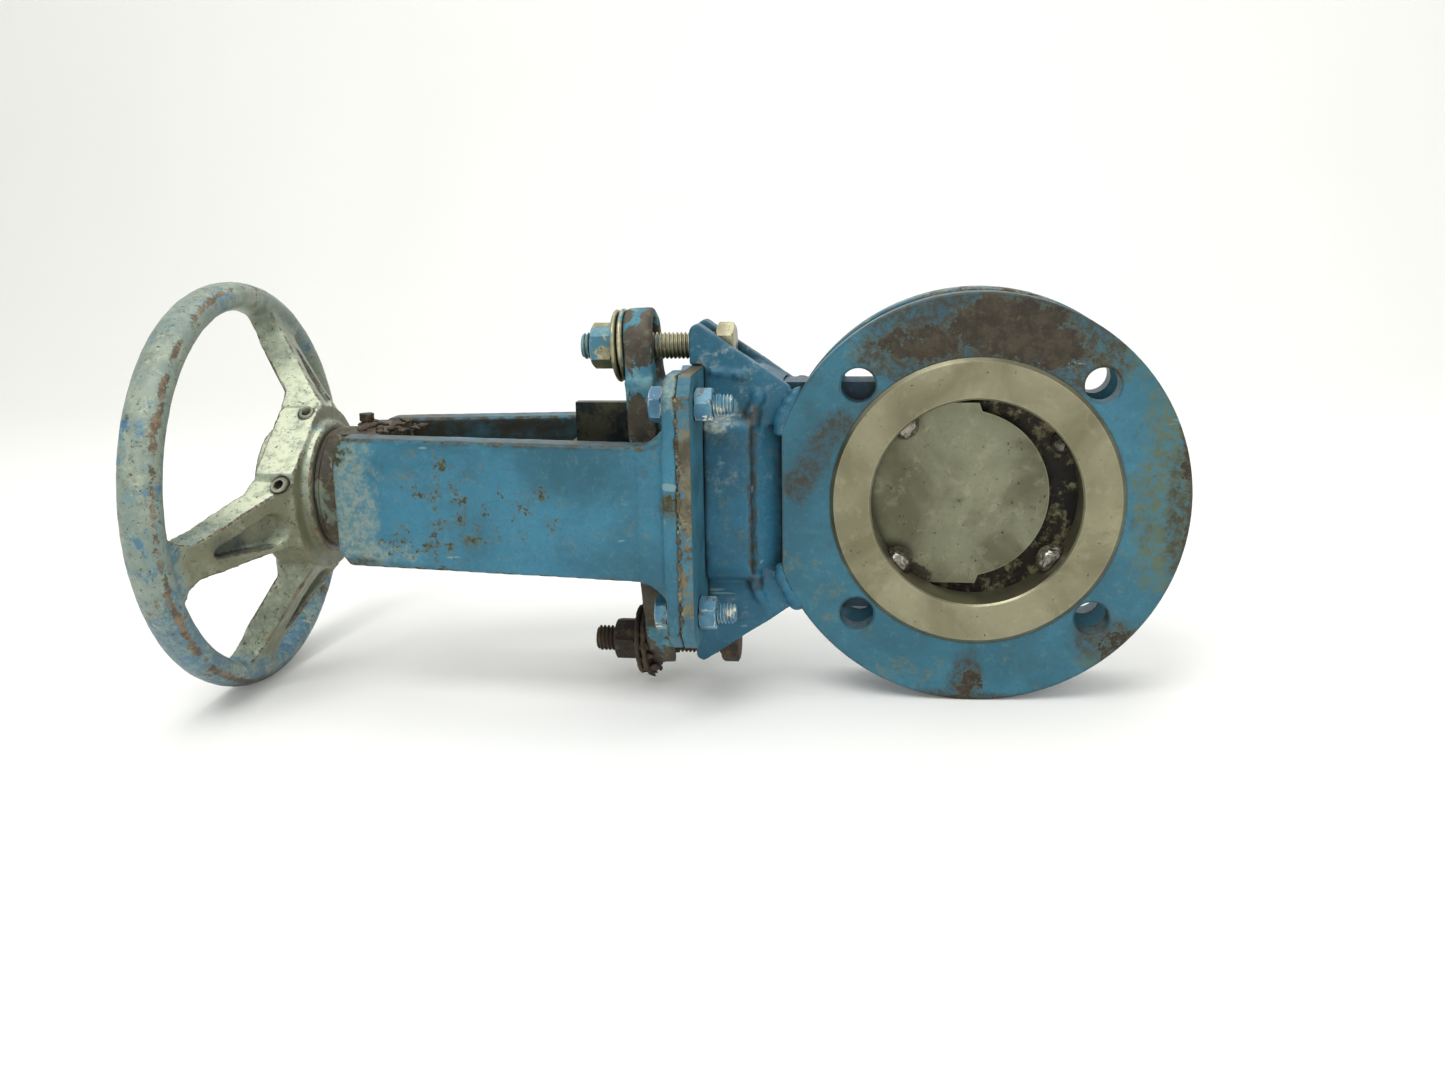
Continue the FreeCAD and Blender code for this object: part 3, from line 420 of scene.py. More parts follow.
def wheel_enamel(name):
    """Handwheel: thin pale coat over blue, rubbed to brown on the ridge of the rim."""
    s = Shader(name, 3.1)
    radius = s.vector("LENGTH", s.vector("MULTIPLY", s.place, (0.0, 1.0, 1.0)))
    axial = s.math("SUBTRACT", s.along("X"), RIM_X)
    radial = s.math("SUBTRACT", radius, RIM_RADIUS)
    turn = s.math("ARCTAN2", axial, s.times(radial, 1.45))
    ridge = s.step(s.math("ABSOLUTE", s.math("SUBTRACT", turn, 0.95)), 0.4, 0.05)
    on_rim = s.step(radius, 84 * MM, 89 * MM)
    low_half = s.step(s.along("Z"), 10 * MM, -70 * MM)
    s.colour = s.mix(s.spots((90, 8, 0.66), 0.36, 0.64), (122, 134, 120), (160, 169, 147))
    s.coat((200, 206, 180), s.spots((300, 6, 0.7), 0.54, 0.64), 0.45)
    wash = s.spots((40, 9, 0.72), 0.38, 0.58)
    s.coat(s.mix(low_half, (112, 130, 126), (122, 150, 156)),
           s.times(s.plus(0.35, s.times(wash, 0.65)), on_rim), 0.8)
    blue_level = s.plus(s.noise(48, 12, 0.8), s.times(on_rim, s.plus(0.058, s.times(low_half, 0.095))))
    blue = s.step(blue_level, 0.59, 0.625)
    tint = s.mix(s.spots((170, 8, 0.74), 0.44, 0.58), (54, 108, 138), (104, 140, 148))
    s.coat(tint, blue, 0.9)
    upward = s.facing((-0.25, -0.25, 0.93))
    shaded = s.times(s.step(upward, 0.6, -0.2), s.spots((70, 9, 0.74), 0.3, 0.56, 0.55, 1.0))
    s.coat((104, 104, 78), shaded, s.math("SUBTRACT", 0.92, s.times(on_rim, 0.62)))
    # painted highlight: pale cream laid on the hub flat, the face turned to the light
    flat = s.times(s.step(s.facing(FLAT_NORMAL), 0.9, 0.985), s.step(radius, 70 * MM, 50 * MM))
    s.coat((208, 214, 186), flat, s.spots((150, 8, 0.74), 0.36, 0.52, 0.35, 0.95))
    veil = s.spots((240, 9, 0.8), 0.545, 0.6)
    s.coat((92, 94, 72), veil, 0.55)
    specks = s.spots((390, 5, 0.74), 0.6, 0.63)
    s.coat((58, 52, 38), specks, 0.85)
    rub = s.plus(s.noise(85, 12, 0.8, 0.2), s.times(s.times(ridge, on_rim), 0.14))
    rub = s.plus(rub, s.times(s.math("MAXIMUM", s.edges(2.0), s.ridges(0.51, 0.54)), 0.165))
    rub = s.plus(rub, s.times(s.times(low_half, on_rim), 0.042))
    worn = s.step(rub, 0.625, 0.65)
    brown = s.mix(s.spots((130, 8, 0.74), 0.44, 0.6), (80, 70, 56), (124, 108, 84))
    s.coat(brown, worn)
    # grime and painted shade: dark tones laid by ambient occlusion in the corners of hub, spokes and rim,
    # broken up by noise
    crevice_dirt_and_shade = s.times(s.crevices(14), s.spots((90, 7, 0.74), 0.34, 0.58, 0.55, 1.0))
    s.coat(s.mix(s.spots((60, 5, 0.6), 0.45, 0.6), (50, 48, 34), (30, 52, 68)), crevice_dirt_and_shade, 0.92)
    # painted shade: dark blue-grey on the pocket floors behind the spokes
    pocket_shade = s.times(s.blobs(pocket_shade_marks()), s.spots((120, 8, 0.74), 0.34, 0.56, 0.45, 0.8))
    s.coat((40, 52, 56), pocket_shade)
    height = s.plus(s.times(s.noise(330, 8, 0.74), 0.8), s.times(worn, -0.35))
    height = s.plus(height, s.times(s.noise(70, 3, 0.5), 0.6))
    return s.done(Specular_IOR_Level=0.4, Normal=s.bump(height, 0.6, 0.32),
                  Roughness=s.varied((150, 6, 0.7), 0.3, 0.3))


def flange_edge(name, shift):
    """Painted plate whose sawn outer edge shows brown-grey steel with dried cement."""
    s = Shader(name, shift)
    paint_colour = s.mix(s.spots((40, 9, 0.72), 0.36, 0.62), BLUE_DEEP, BLUE)
    s.colour = s.mix(s.spots((60, 9, 0.72, 0.2), 0.4, 0.6), (64, 59, 44), (104, 100, 78))
    s.coat((66, 50, 36), s.spots((150, 8, 0.74), 0.54, 0.62), 0.8)
    cement = s.spots((190, 3, 0.5, 2.2), 0.62, 0.65)
    s.coat((156, 154, 124), cement, 0.25)
    out_y = s.step(s.math("ABSOLUTE", s.along("Y")), 62.2 * MM, 62.7 * MM)
    out_z = s.step(s.math("ABSOLUTE", s.along("Z")), 61.7 * MM, 62.2 * MM)
    edge = s.math("MAXIMUM", out_y, out_z)
    low = s.step(s.along("Z"), 20 * MM, -40 * MM, 0.0, 0.07)
    left = s.step(s.plus(s.noise(70, 10, 0.76), low), 0.54, 0.57)
    share = s.plus(s.times(edge, s.math("SUBTRACT", 1.0, s.times(left, 0.85))),
                   s.times(s.noise(140, 8, 0.74), 0.12))
    s.colour = s.mix(s.step(share, 0.1, 0.6), paint_colour, s.colour)
    # painted shade: corners and crevices darkened by ambient occlusion
    s.coat(GRIME_AND_SHADE, s.crevices(4), 0.8)
    height = s.plus(s.noise(260, 7, 0.68), s.times(cement, 0.6))
    return s.done(Normal=s.bump(height, 0.6, 0.35, 0.4), Roughness=s.varied((90, 4, 0.6), 0.2, 0.5))


def grease(name):
    """Old dark grease with grit in it."""
    s = Shader(name, 8.0)
    s.colour = s.mix(s.spots((160, 6, 0.66), 0.4, 0.62), (34, 27, 20), (84, 68, 48))
    s.coat((128, 108, 80), s.spots((420, 4, 0.6), 0.58, 0.66), 0.7)
    return s.done(Normal=s.bump(s.noise(500, 6, 0.7), 0.9, 0.5),
                  Roughness=s.varied((200, 4, 0.6), 0.4, 0.34))


def packing(name):
    """Braided square packing: two crossed sets of strands."""
    s = Shader(name, 5.0)
    strands = []
    for slant in (1.0, -1.0):
        crossed = s.vector("MULTIPLY", s.place, (1.0, slant, slant))
        wave = s.node("TexWave", Scale=260, Distortion=1.2, Vector=crossed)
        strands.append(wave.outputs["Fac"])
    weave = s.math("MULTIPLY", *strands)
    s.colour = s.mix(weave, (34, 32, 29), (96, 90, 80))
    return s.done(Normal=s.bump(weave, 0.8, 0.6), Roughness=s.plus(s.times(weave, -0.15), 0.85))


# ---- mesh building blocks
def piece_from(name, points, faces):
    mesh = bpy.data.meshes.new(name)
    mesh.from_pydata([tuple(p) for p in points], [], faces)
    mesh.update()
    made = bpy.data.objects.new(name, mesh)
    bpy.context.scene.collection.objects.link(made)
    return made


def outward(made):
    """Turn every face of a closed mesh to look outwards."""
    work = bmesh.new()
    work.from_mesh(made.data)
    bmesh.ops.recalc_face_normals(work, faces=work.faces)
    work.to_mesh(made.data)
    work.free()
    return made


def finish_piece(made, material, body, slot=None, stands_for=(), angle=35):
    made.data.materials.clear()
    made.data.materials.append(material)
    outward(made)
    for face in made.data.polygons:
        face.use_smooth = True
    if angle:
        made.data.set_sharp_from_angle(angle=math.radians(angle))
    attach(made, body)
    if stands_for:
        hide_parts(*stands_for)
    return made


def add_piece(name, parts, *finish, **more):
    """Finished piece made of separate shells."""
    return finish_piece(piece_from(name, *joined(parts)), *finish, **more)


def lofted(rings, closed=False):
    """Points and faces of a skin over equal rings of points; open skins get flat end caps."""
    around = len(rings[0])
    points = [p for ring in rings for p in ring]
    faces = []
    last = len(rings) if closed else len(rings) - 1
    for i in range(last):
        a, b = i * around, ((i + 1) % len(rings)) * around
        for j in range(around):
            k = (j + 1) % around
            faces.append((a + j, a + k, b + k, b + j))
    if not closed:
        faces.append(tuple(reversed(range(around))))
        faces.append(tuple((len(rings) - 1) * around + j for j in range(around)))
    return points, faces


def joined(parts):
    points, faces = [], []
    for more_points, more_faces in parts:
        shift = len(points)
        points += more_points
        faces += [tuple(shift + i for i in face) for face in more_faces]
    return points, faces


AROUND = 48


def circle_of(x, radius, centre, offset=None, turn=0.0):
    """Ring round the X axis; radius and offset may be functions of the angle."""
    ring = []
    for j in range(AROUND):
        a = 2 * math.pi * j / AROUND
        r = radius(a) if callable(radius) else radius
        dx = offset(a) if offset else 0.0
        ring.append((x + dx, centre[0] + r * math.cos(a + turn), centre[1] + r * math.sin(a + turn)))
    return ring


def hex_radius(flats):
    def radius(a):
        local = (a + math.pi / 6) % (math.pi / 3) - math.pi / 6
        return flats / 2 / math.cos(local)
    return radius


def hex_block(x0, x1, flats, centre, turn, hole=0.0):
    """Hex head, or with a hole a nut, with its corners chamfered at both ends."""
    outline = hex_radius(flats)
    crown = flats * 0.475

    def dip(a):
        return max(0.0, outline(a) - crown) * 0.58

    def ring(x, radius, offset=None):
        return circle_of(x, radius, centre, offset, turn)

    sides = ring(x0, outline, dip), ring(x1, outline, lambda a: -dip(a))
    rings = [ring(x0, crown), *sides, ring(x1, crown)]
    if hole:
        mouths = ring(x0, hole + 0.8 * MM), ring(x1, hole + 0.8 * MM)
        rings = [ring(x0 + 0.6 * MM, hole), mouths[0], *rings, mouths[1], ring(x1 - 0.6 * MM, hole)]
    return lofted(rings, closed=bool(hole))


def thread(x0, x1, radius, pitch, centre, depth=None, flat=0.2, hand=1, steps=8, tip=1.2 * MM):
    """Rod along X with a helical thread and chamfered ends."""
    depth = depth or 0.61 * pitch
    count = max(2, int(round((x1 - x0) / pitch * steps)))
    rings = []
    for i in range(count + 1):
        x = x0 + (x1 - x0) * i / count
        near_end = min(x - x0, x1 - x)
        limit = radius - max(0.0, tip - near_end)

        def at(a, x=x, limit=limit):
            phase = (x / pitch - hand * a / (2 * math.pi)) % 1.0
            slope = abs(2 * phase - 1)
            crest = min(1.0, max(0.0, (slope - flat) / (1 - 2 * flat)))
            return min(limit, radius - depth * (1 - crest))

        rings.append(circle_of(x, at, centre))
    return lofted(rings)


def rod(x0, x1, radius, centre, round_off=0.6 * MM):
    slim = radius - round_off
    outline = ((x0, slim), (x0 + round_off, radius), (x1 - round_off, radius), (x1, slim))
    return lofted([circle_of(x, r, centre) for x, r in outline])


def roughen(made, depth, size, seed):
    """Push the points along their normals by smooth noise."""
    mesh = made.data
    count = len(mesh.vertices)
    co = np.empty(count * 3)
    mesh.vertices.foreach_get("co", co)
    co = co.reshape(-1, 3)
    normals = np.array([v.normal for v in mesh.vertices])
    shift = Vector((seed, -seed, seed * 0.5))
    push = np.array([noise.fractal(Vector(p) / size + shift, 0.9, 2.1, 4) for p in co])
    co += normals * (push * depth)[:, None]
    mesh.vertices.foreach_set("co", co.ravel())
    mesh.update()
    return made


def settle(made):
    """Apply a piece's modifiers to its mesh."""
    graph = bpy.context.evaluated_depsgraph_get()
    mesh = bpy.data.meshes.new_from_object(made.evaluated_get(graph))
    made.modifiers.clear()
    made.data = mesh
    return made


def keep_within(made):
    """Press the points that stand proud back into the box of the CAD model."""
    co = np.empty(len(made.data.vertices) * 3)
    made.data.vertices.foreach_get("co", co)
    co = np.clip(co.reshape(-1, 3), np.array(CAD_BOX[0]), np.array(CAD_BOX[1]))
    made.data.vertices.foreach_set("co", co.ravel())
    made.data.update()


def casting(nodes, name, material, body, slot, voxel, rounds, depth, size, seed, added=()):
    """CAD nodes as one cast or welded skin, its corners smoothed in rounds and its surface uneven.

    voxel, and the depth and size of the unevenness, are in mm; added holds more shells to melt in.
    """
    nodes = (nodes,) if isinstance(nodes, str) else nodes
    parts = list(added)
    for node in nodes:
        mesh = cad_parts[node].data
        parts.append(([tuple(v.co) for v in mesh.vertices], [tuple(f.vertices) for f in mesh.polygons]))
    made = piece_from(name, *joined(parts))
    remesh = made.modifiers.new("Skin", "REMESH")
    remesh.mode = "VOXEL"
    remesh.voxel_size = voxel * MM
    smooth = made.modifiers.new("Rounding", "SMOOTH")
    smooth.factor = 0.5
    smooth.iterations = rounds
    settle(made)
    roughen(made, depth * MM, size * MM, seed)
    keep_within(made)
    return finish_piece(made, material, body, slot, nodes, angle=None)


BEAD_STEP, BEAD_AROUND = 0.45 * MM, 14


def bead(points, radius, seed, ripple):
    """Weld bead: a rippled rope of metal along a line of points."""
    path = [Vector(p) for p in points]
    samples = []
    for a, b in zip(path, path[1:]):
        count = max(2, int((b - a).length / BEAD_STEP))
        samples += [a.lerp(b, k / count) for k in range(count)]
    samples.append(path[-1])
    rings = []
    total = len(samples)
    for i, p in enumerate(samples):
        ahead = samples[min(i + 1, total - 1)] - samples[max(i - 1, 0)]
        along = ahead.normalized()
        side = along.cross(Vector((0.31, 0.83, 0.46))).normalized()
        up = along.cross(side)
        run = i * BEAD_STEP
        end = min(1.0, min(i, total - 1 - i) / 5 + 0.25)
        size = radius * end * (1 + 0.1 * math.sin(2 * math.pi * run / ripple))
        size *= 1 + 0.35 * noise.noise(p / (6 * MM) + Vector((seed, 0, 0)))
        ring = []
        for j in range(BEAD_AROUND):
            a = 2 * math.pi * j / BEAD_AROUND
            grain = 1 + 0.1 * noise.noise(Vector((run / (1.5 * MM), math.cos(a), math.sin(a) + seed)))
            ring.append(tuple(p + (side * math.cos(a) + up * math.sin(a)) * size * grain))
        rings.append(ring)
    return lofted(rings)


def lump(centre, radius, seed, flatten=0.7, rings=12, around=18, uneven=0.35):
    """Rounded clod with an uneven skin."""
    loops = []
    for i in range(rings + 1):
        polar = math.pi * (i + 0.25) / (rings + 0.5)
        loop = []
        for j in range(around):
            a = 2 * math.pi * j / around
            girth = math.sin(polar)
            way = Vector((girth * math.cos(a), girth * math.sin(a), math.cos(polar)))
            r = radius * (1 + uneven * noise.noise(way * 1.7 + Vector((seed, seed * 0.3, 0))))
            r *= 1 + 0.12 * noise.noise(way * 5.0 + Vector((0, seed, 0)))
            loop.append((centre[0] + way.x * r, centre[1] + way.y * r, centre[2] + way.z * r * flatten))
        loops.append(loop)
    return lofted(loops)


# ---- sizes read from the frame
WASHER_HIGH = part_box("yoke_bolt_washers")[1]
WASHER_RADIUS = 8.4 * MM
YOKE_BOLT_Y, YOKE_BOLT_Z = WASHER_HIGH.y - WASHER_RADIUS, WASHER_HIGH.z - WASHER_RADIUS
FLANGE_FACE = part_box("front_flange")[0].y
ARM_LOW, ARM_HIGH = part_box("front_yoke_arm")
BOX_LOW, BOX_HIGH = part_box("stuffing_box")

# ---- materials
def on_flange(*rows):
    """Marks on the front flange, from rows of x, z, the reach along both, and the weight."""
    return [((x, FLANGE_FACE, z), (wide, 0.03, high), weight) for x, z, wide, high, weight in rows]


flange_marks = on_flange(
    (0.012, 0.08, 0.04, 0.02, 1.0), (0.032, 0.071, 0.024, 0.015, 0.85),
    (-0.024, 0.073, 0.034, 0.013, 0.72), (0.05, 0.06, 0.016, 0.01, 0.45),
    (-0.056, 0.047, 0.016, 0.02, 0.16), (-0.074, 0.02, 0.008, 0.028, 0.12),
    (0.0, -0.088, 0.01, 0.012, 0.62), (-0.006, -0.097, 0.058, 0.007, 0.72),
    (0.064, -0.066, 0.018, 0.014, 0.5), (0.055, -0.052, 0.014, 0.01, 0.42),
    (0.094, -0.028, 0.006, 0.03, 0.6), (0.092, 0.03, 0.007, 0.04, 0.5))
flange_fade = on_flange(
    (0.084, 0.004, 0.022, 0.074, 1.05), (0.06, 0.07, 0.03, 0.022, 0.6),
    (0.066, -0.074, 0.03, 0.016, 0.55))
flange_soil = on_flange(
    (0.006, 0.08, 0.078, 0.027, 1.45), (0.044, 0.066, 0.03, 0.022, 1.15),
    (-0.034, 0.068, 0.03, 0.018, 1.2), (-0.003, -0.086, 0.011, 0.02, 0.9),
    (0.062, -0.064, 0.024, 0.016, 0.85), (0.091, 0.0, 0.01, 0.06, 0.7),
    (0.0, -0.096, 0.07, 0.008, 0.75)) + [
    ((-0.061, FLANGE_FACE, 0.038), ((-0.082, FLANGE_FACE, 0.008), 0.0115), 0.72),
    ((-0.048, FLANGE_FACE, 0.05), ((-0.066, FLANGE_FACE, 0.036), 0.009), 0.55),
]
front_blue = enamel("front_flange_paint", 0.0, chips=0.36, edge=0.85, stains=0.6, bare=flange_marks,
                    soil_and_shade=flange_soil, faded=flange_fade, faded_colour=(82, 94, 68),
                    metal=((46, 41, 32), (64, 57, 44), (84, 76, 58)))
back_blue = enamel("back_flange_paint", 1.3, chips=0.42, edge=1.0, stains=0.8,
                   bare=[((0.0, -FLANGE_FACE - 3 * MM, 0.094), (0.08, 0.02, 0.012), 0.5)],
                   faded=[((0.0, -FLANGE_FACE - 8 * MM, 0.094), (0.09, 0.012, 0.014), 0.9)],
                   soil_and_shade=[((0.02, -FLANGE_FACE, -0.08), (0.05, 0.03, 0.024), 0.9)])
body_soil = [((-0.1025, side * 0.026, level), (0.003, 0.014, 0.02), 1.0)
             for side in (-1, 1) for level in (-0.024, -0.008, 0.008, 0.024)]
body_soil += [((-0.1025, side * 0.02, up * 0.04), (0.006, 0.012, 0.008), 0.8)
              for side in (-1, 1) for up in (-1, 1)]
body_blue = enamel("body_paint", 2.2, base=(46, 108, 134), deep=(28, 76, 96), chips=0.3, edge=0.5,
                   skin=True, stains=0.55, corner_grime_and_shade=0.85, soil_and_shade=body_soil,
                   faded=[((-0.118, -0.026, 0.041), (0.016, 0.02, 0.013), 1.0),
                          ((-0.106, -0.022, 0.066), (0.036, 0.03, 0.026), 0.28)],
                   faded_colour=(176, 188, 178))
nose_fade = [
    ((ARM_LOW.x, -0.037, 0.0), (0.034, 0.05, 0.06), 0.95),
    ((ARM_LOW.x + 0.012, -0.037, -0.028), (0.044, 0.05, 0.016), 0.8),
    ((ARM_HIGH.x, -0.06, 0.058), (0.012, 0.03, 0.018), 0.9),
]
# grime on the yoke arms, and painted shade: dark patches on the inner faces that look at the other arm
arm_grime_and_shade = []
for side in (-1, 1):
    arm_grime_and_shade += [((ARM_LOW.x + 0.03, side * 0.022, 0.0), (0.05, 0.01, 0.05), 0.95),
                 ((ARM_HIGH.x - 0.03, side * 0.036, 0.0), (0.05, 0.012, 0.05), 0.75),
                 ((ARM_HIGH.x - 0.06, side * 0.05, 0.0312), (0.1, 0.02, 0.0035), 0.7),
                 ((ARM_LOW.x + 0.02, side * 0.03, 0.0315), (0.05, 0.02, 0.004), 0.95),
                 ((ARM_LOW.x + 0.02, side * 0.037, -0.03), (0.05, 0.01, 0.005), 0.75),
                 ((ARM_HIGH.x - 0.004, side * 0.056, 0.004), (0.008, 0.012, 0.024), 0.7)]
arm_bare = [
    ((ARM_LOW.x, -0.035, 0.022), (0.022, 0.05, 0.016), 0.5),
    ((ARM_LOW.x + 0.052, -0.045, 0.012), (0.03, 0.05, 0.022), 0.36),
    ((ARM_LOW.x + 0.066, -0.045, -0.008), (0.034, 0.05, 0.026), 0.38),
    ((ARM_LOW.x + 0.044, -0.045, -0.02), (0.044, 0.05, 0.016), 0.42),
    ((ARM_LOW.x + 0.1, -0.05, 0.0), (0.034, 0.05, 0.028), 0.27),
    ((ARM_HIGH.x - 0.004, -0.056, 0.006), (0.007, 0.05, 0.008), 0.58),
]
arm_blue = enamel("yoke_paint", 6.0, base=(56, 119, 144), chips=0.46, edge=0.8, stains=0.45,
                  faded=nose_fade, soil_and_shade=arm_grime_and_shade, faded_colour=(128, 142, 130), skin=True,
                  grime_and_shade_side=(0.0, 1.0, 0.0), metal=((50, 51, 34), (76, 78, 52), (100, 103, 74)),
                  bare=arm_bare)
rear_arm_blue = enamel("rear_yoke_paint", 7.2, chips=0.5, edge=1.0, stains=0.6, soil_and_shade=arm_grime_and_shade,
                       skin=True, grime_and_shade_side=(0.0, -1.0, 0.0), faded_colour=(136, 148, 134),
                       faded=[((ARM_LOW.x, 0.037, 0.0), (0.034, 0.06, 0.06), 0.8)])
wheel_paint = wheel_enamel("handwheel_paint")
ring_steel = steel("raised_face_steel", 2.9, tone=(142, 139, 114), dark=(112, 109, 86),
                   light=(178, 175, 148), pits=0.2, stains=0.25, rough=0.34, metallic=0.85, turned="y",
                   mottle=0.16)
back_ring_steel = steel("back_face_steel", 1.9, tone=(128, 124, 100), dark=(92, 88, 68), pits=0.4,
                        stains=0.7, mottle=0.22, rough=0.46, turned="y")
gate_marks = [
    ((0.031, -0.0032, -0.012), (0.006, 0.01, 0.018), 0.3),
    ((-0.03, -0.0032, -0.04), (0.022, 0.01, 0.012), 0.6),
]
gate_steel = steel("gate_plate_steel", 2.7, tone=(128, 129, 106), dark=(92, 92, 72),
                   light=(176, 176, 148), pits=0.4, stains=0.45, rough=0.42, metallic=0.7,
                   marks=gate_marks, outside=-0.15, mottle=0.2)
seat_steel = steel("seat_steel", 3.9, tone=(44, 40, 28), dark=(20, 18, 13), light=(186, 178, 132),
                   pits=1.0, stains=0.6, rough=0.6, metallic=0.2, bump=0.9, mottle=0.55)
guide_steel = steel("weld_guide_steel", 4.8, tone=(156, 152, 140), dark=(70, 66, 58),
                    light=(214, 210, 198), pits=0.3, stains=0.4, rough=0.26, metallic=0.85, bump=0.8)
# painted shade: the gate housing between the flanges gets a deeper, darker copy of the blue paint
housing_painted_shade = enamel("housing_shade_paint", 9.1, base=BLUE_DEEP, deep=(24, 60, 84), chips=0.4, edge=0.5,
                      stains=0.7, corner_grime_and_shade=0.9)
nose_rust = rusty("bearing_housing_rust", 1.1, tones=((40, 34, 24), (70, 61, 42), (108, 96, 66)),
                  patch=((84, 96, 84), (112, 118, 98)), amount=0.2, rough=0.55)
gland_cast = rusty("gland_iron", 2.4, tones=((50, 46, 38), (80, 74, 60), (112, 104, 84)),
                   patch=(BLUE, BLUE_PALE), amount=0.55, rough=0.7)
dark_rust = rusty("lower_gland_rust", 3.3, tones=((42, 35, 27), (72, 60, 46), (104, 84, 60)))
edge_plate = flange_edge("box_flange_edge", 0.9)
zinc_steel = zinc("gland_zinc", 1.7, 0.36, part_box("upper_gland_bolt")[0].x + 8 * MM)
zinc_painted = zinc("gland_nut_zinc", 2.6, 0.85)
washer_zinc = zinc("washer_zinc", 5.7, 0.28)
bolt_paint = painted_bolt("yoke_bolt_paint", 2.1)
bronze = steel("bearing_bronze", 5.5, tone=(140, 108, 62), dark=(84, 62, 36), light=(196, 166, 108),
               pits=0.3, stains=0.6, rough=0.42, turned="x")
stem_steel = steel("stem_steel", 6.6, tone=(112, 104, 90), dark=(60, 52, 42), light=(170, 162, 146),
                   pits=0.3, stains=0.9, rough=0.4)
black_oxide = steel("set_screw_steel", 7.7, tone=(156, 158, 136), dark=(104, 104, 86),
                    light=(190, 192, 168), pits=0.4, stains=0.4, rough=0.5, metallic=0.2)
old_grease = grease("old_grease")

NODE_LOOKS = {
    "front_flange": front_blue, "back_flange": back_blue, "front_face_ring": ring_steel,
    "back_face_ring": back_ring_steel, "seat_ring": seat_steel, "gate_housing": housing_painted_shade,
    "box_flange": edge_plate, "packing_rings": packing("braided_packing"),
    "bearing_housing": nose_rust, "nose_bushing": bronze, "inner_thrust_washer": bronze,
    "outer_thrust_washer": nose_rust, "yoke_bolt_washers": bolt_paint, "gate": gate_steel,
    "gate_bolts": zinc_steel, "gate_bolt_nuts": zinc_steel, "stem_nut": bronze,
}
for node, material in NODE_LOOKS.items():
    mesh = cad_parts[node].data
    mesh.materials.clear()
    mesh.materials.append(material)

# ---- castings and forgings
casting("handwheel", "cast_handwheel", wheel_paint, WHEEL, "wheel_paint", 1.0, 5, 0.16, 7, 1.0)
casting("front_yoke_arm", "front_arm_casting", arm_blue, BODY, "blue_paint_yoke", 1.2, 3, 0.1, 12, 2.0)
casting("rear_yoke_arm", "rear_arm_casting", rear_arm_blue, BODY, "blue_paint_yoke", 1.2, 3,
        0.1, 12, 3.0)
casting("gland_follower", "gland_casting", gland_cast, BODY, "gland_iron", 1.1, 4, 0.18, 8, 7.0)
casting("gate_guides", "guide_welds", guide_steel, BODY, "bare_steel", 0.5, 2, 0.55, 3, 8.0)
casting("grease_fitting", "grease_nipple", old_grease, BODY, "bronze", 0.4, 2, 0.25, 2, 9.0)

# ---- threaded fasteners
HALF_INCH, HALF_PITCH, HALF_FLATS = 6.35 * MM, 1.954 * MM, 19 * MM
THREE_EIGHTHS, FINE_PITCH, FINE_FLATS = 4.7625 * MM, 1.5875 * MM, 14.3 * MM
NUT_PLAY = 0.02 * MM
HEAD_HEIGHT = 8.6 * MM


def gland_fasteners(level, material, nut_material, slot, turn):
    """Bolt and nut of one end of the gland."""
    side = level + "_gland_"
    bolt_low, bolt_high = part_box(side + "bolt")
    centre = (middle(side + "bolt").y, middle(side + "bolt").z)
    head = bolt_high.x - HEAD_HEIGHT
    parts = [thread(bolt_low.x, head + 0.3 * MM, HALF_INCH, HALF_PITCH, centre),
             hex_block(head, bolt_high.x, HALF_FLATS, centre, 0.0)]
    add_piece(side + "bolt_threaded", parts, material, BODY, slot, (side + "bolt",), 50)
    nut_low, nut_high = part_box(side + "nut")
    nut = hex_block(nut_low.x, nut_high.x, HALF_FLATS, centre, turn, HALF_INCH + NUT_PLAY)
    add_piece(side + "nut_forged", [nut], nut_material, BODY, slot, (side + "nut",))


gland_fasteners("upper", zinc_steel, zinc_painted, "zinc", math.radians(0))
gland_fasteners("lower", dark_rust, dark_rust, "rusty_steel", math.radians(18))

GLAND_LEAN = math.radians(2.55)


def washer_pair(node, name, material, slot, gap=0.45 * MM, rough=0.0, seed=1.0):
    """Two flat washers, squeezed square to the tilted gland, with rolled edges."""
    low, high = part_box(node)
    centre = (low + high) / 2
    lean = Matrix.Rotation(-GLAND_LEAN, 4, "Y")
    outer = (high.y - low.y) / 2
    thick = ((high.x - low.x) - 2 * outer * math.sin(GLAND_LEAN)) / math.cos(GLAND_LEAN)
    each = (thick - gap) / 2
    parts = []
    for start, nudge in ((-thick / 2, 0.35 * MM), (thick / 2 - each, 0.0)):
        a, b = start, start + each
        outline = ((a + 0.9 * MM, 7.0 * MM), (a + 0.1 * MM, 7.6 * MM), (a, 8.4 * MM), (a, 12 * MM),
                   (a + 0.15 * MM, outer - 1.4 * MM), (a + 0.6 * MM, outer - 0.4 * MM),
                   (a + 1.2 * MM, outer), (b - 1.2 * MM, outer), (b - 0.6 * MM, outer - 0.3 * MM),
                   (b - 0.1 * MM, outer - 1.2 * MM), (b, 12 * MM), (b, 8.4 * MM),
                   (b - 0.1 * MM, 7.6 * MM), (b - 0.9 * MM, 7.0 * MM))
        rings = []
        for x, r in outline:
            ring = []
            for k in range(2 * AROUND):
                t = math.pi * k / AROUND
                size = r - nudge * (r > 10 * MM)
                ring.append(tuple(centre + lean @ Vector((x, size * math.cos(t), size * math.sin(t)))))
            rings.append(ring)
        parts.append(lofted(rings, closed=True))
    made = piece_from(name, *joined(parts))
    if rough:
        roughen(outward(made), rough, 2.5 * MM, seed)
    return finish_piece(made, material, BODY, slot, (node,), 35)


washer_pair("upper_gland_washers", "upper_washers_pressed", washer_zinc, "zinc")
washer_pair("lower_gland_washers", "lower_washers_crusted", dark_rust, "rusty_steel", 0.2 * MM,
            0.55 * MM, 3.0)

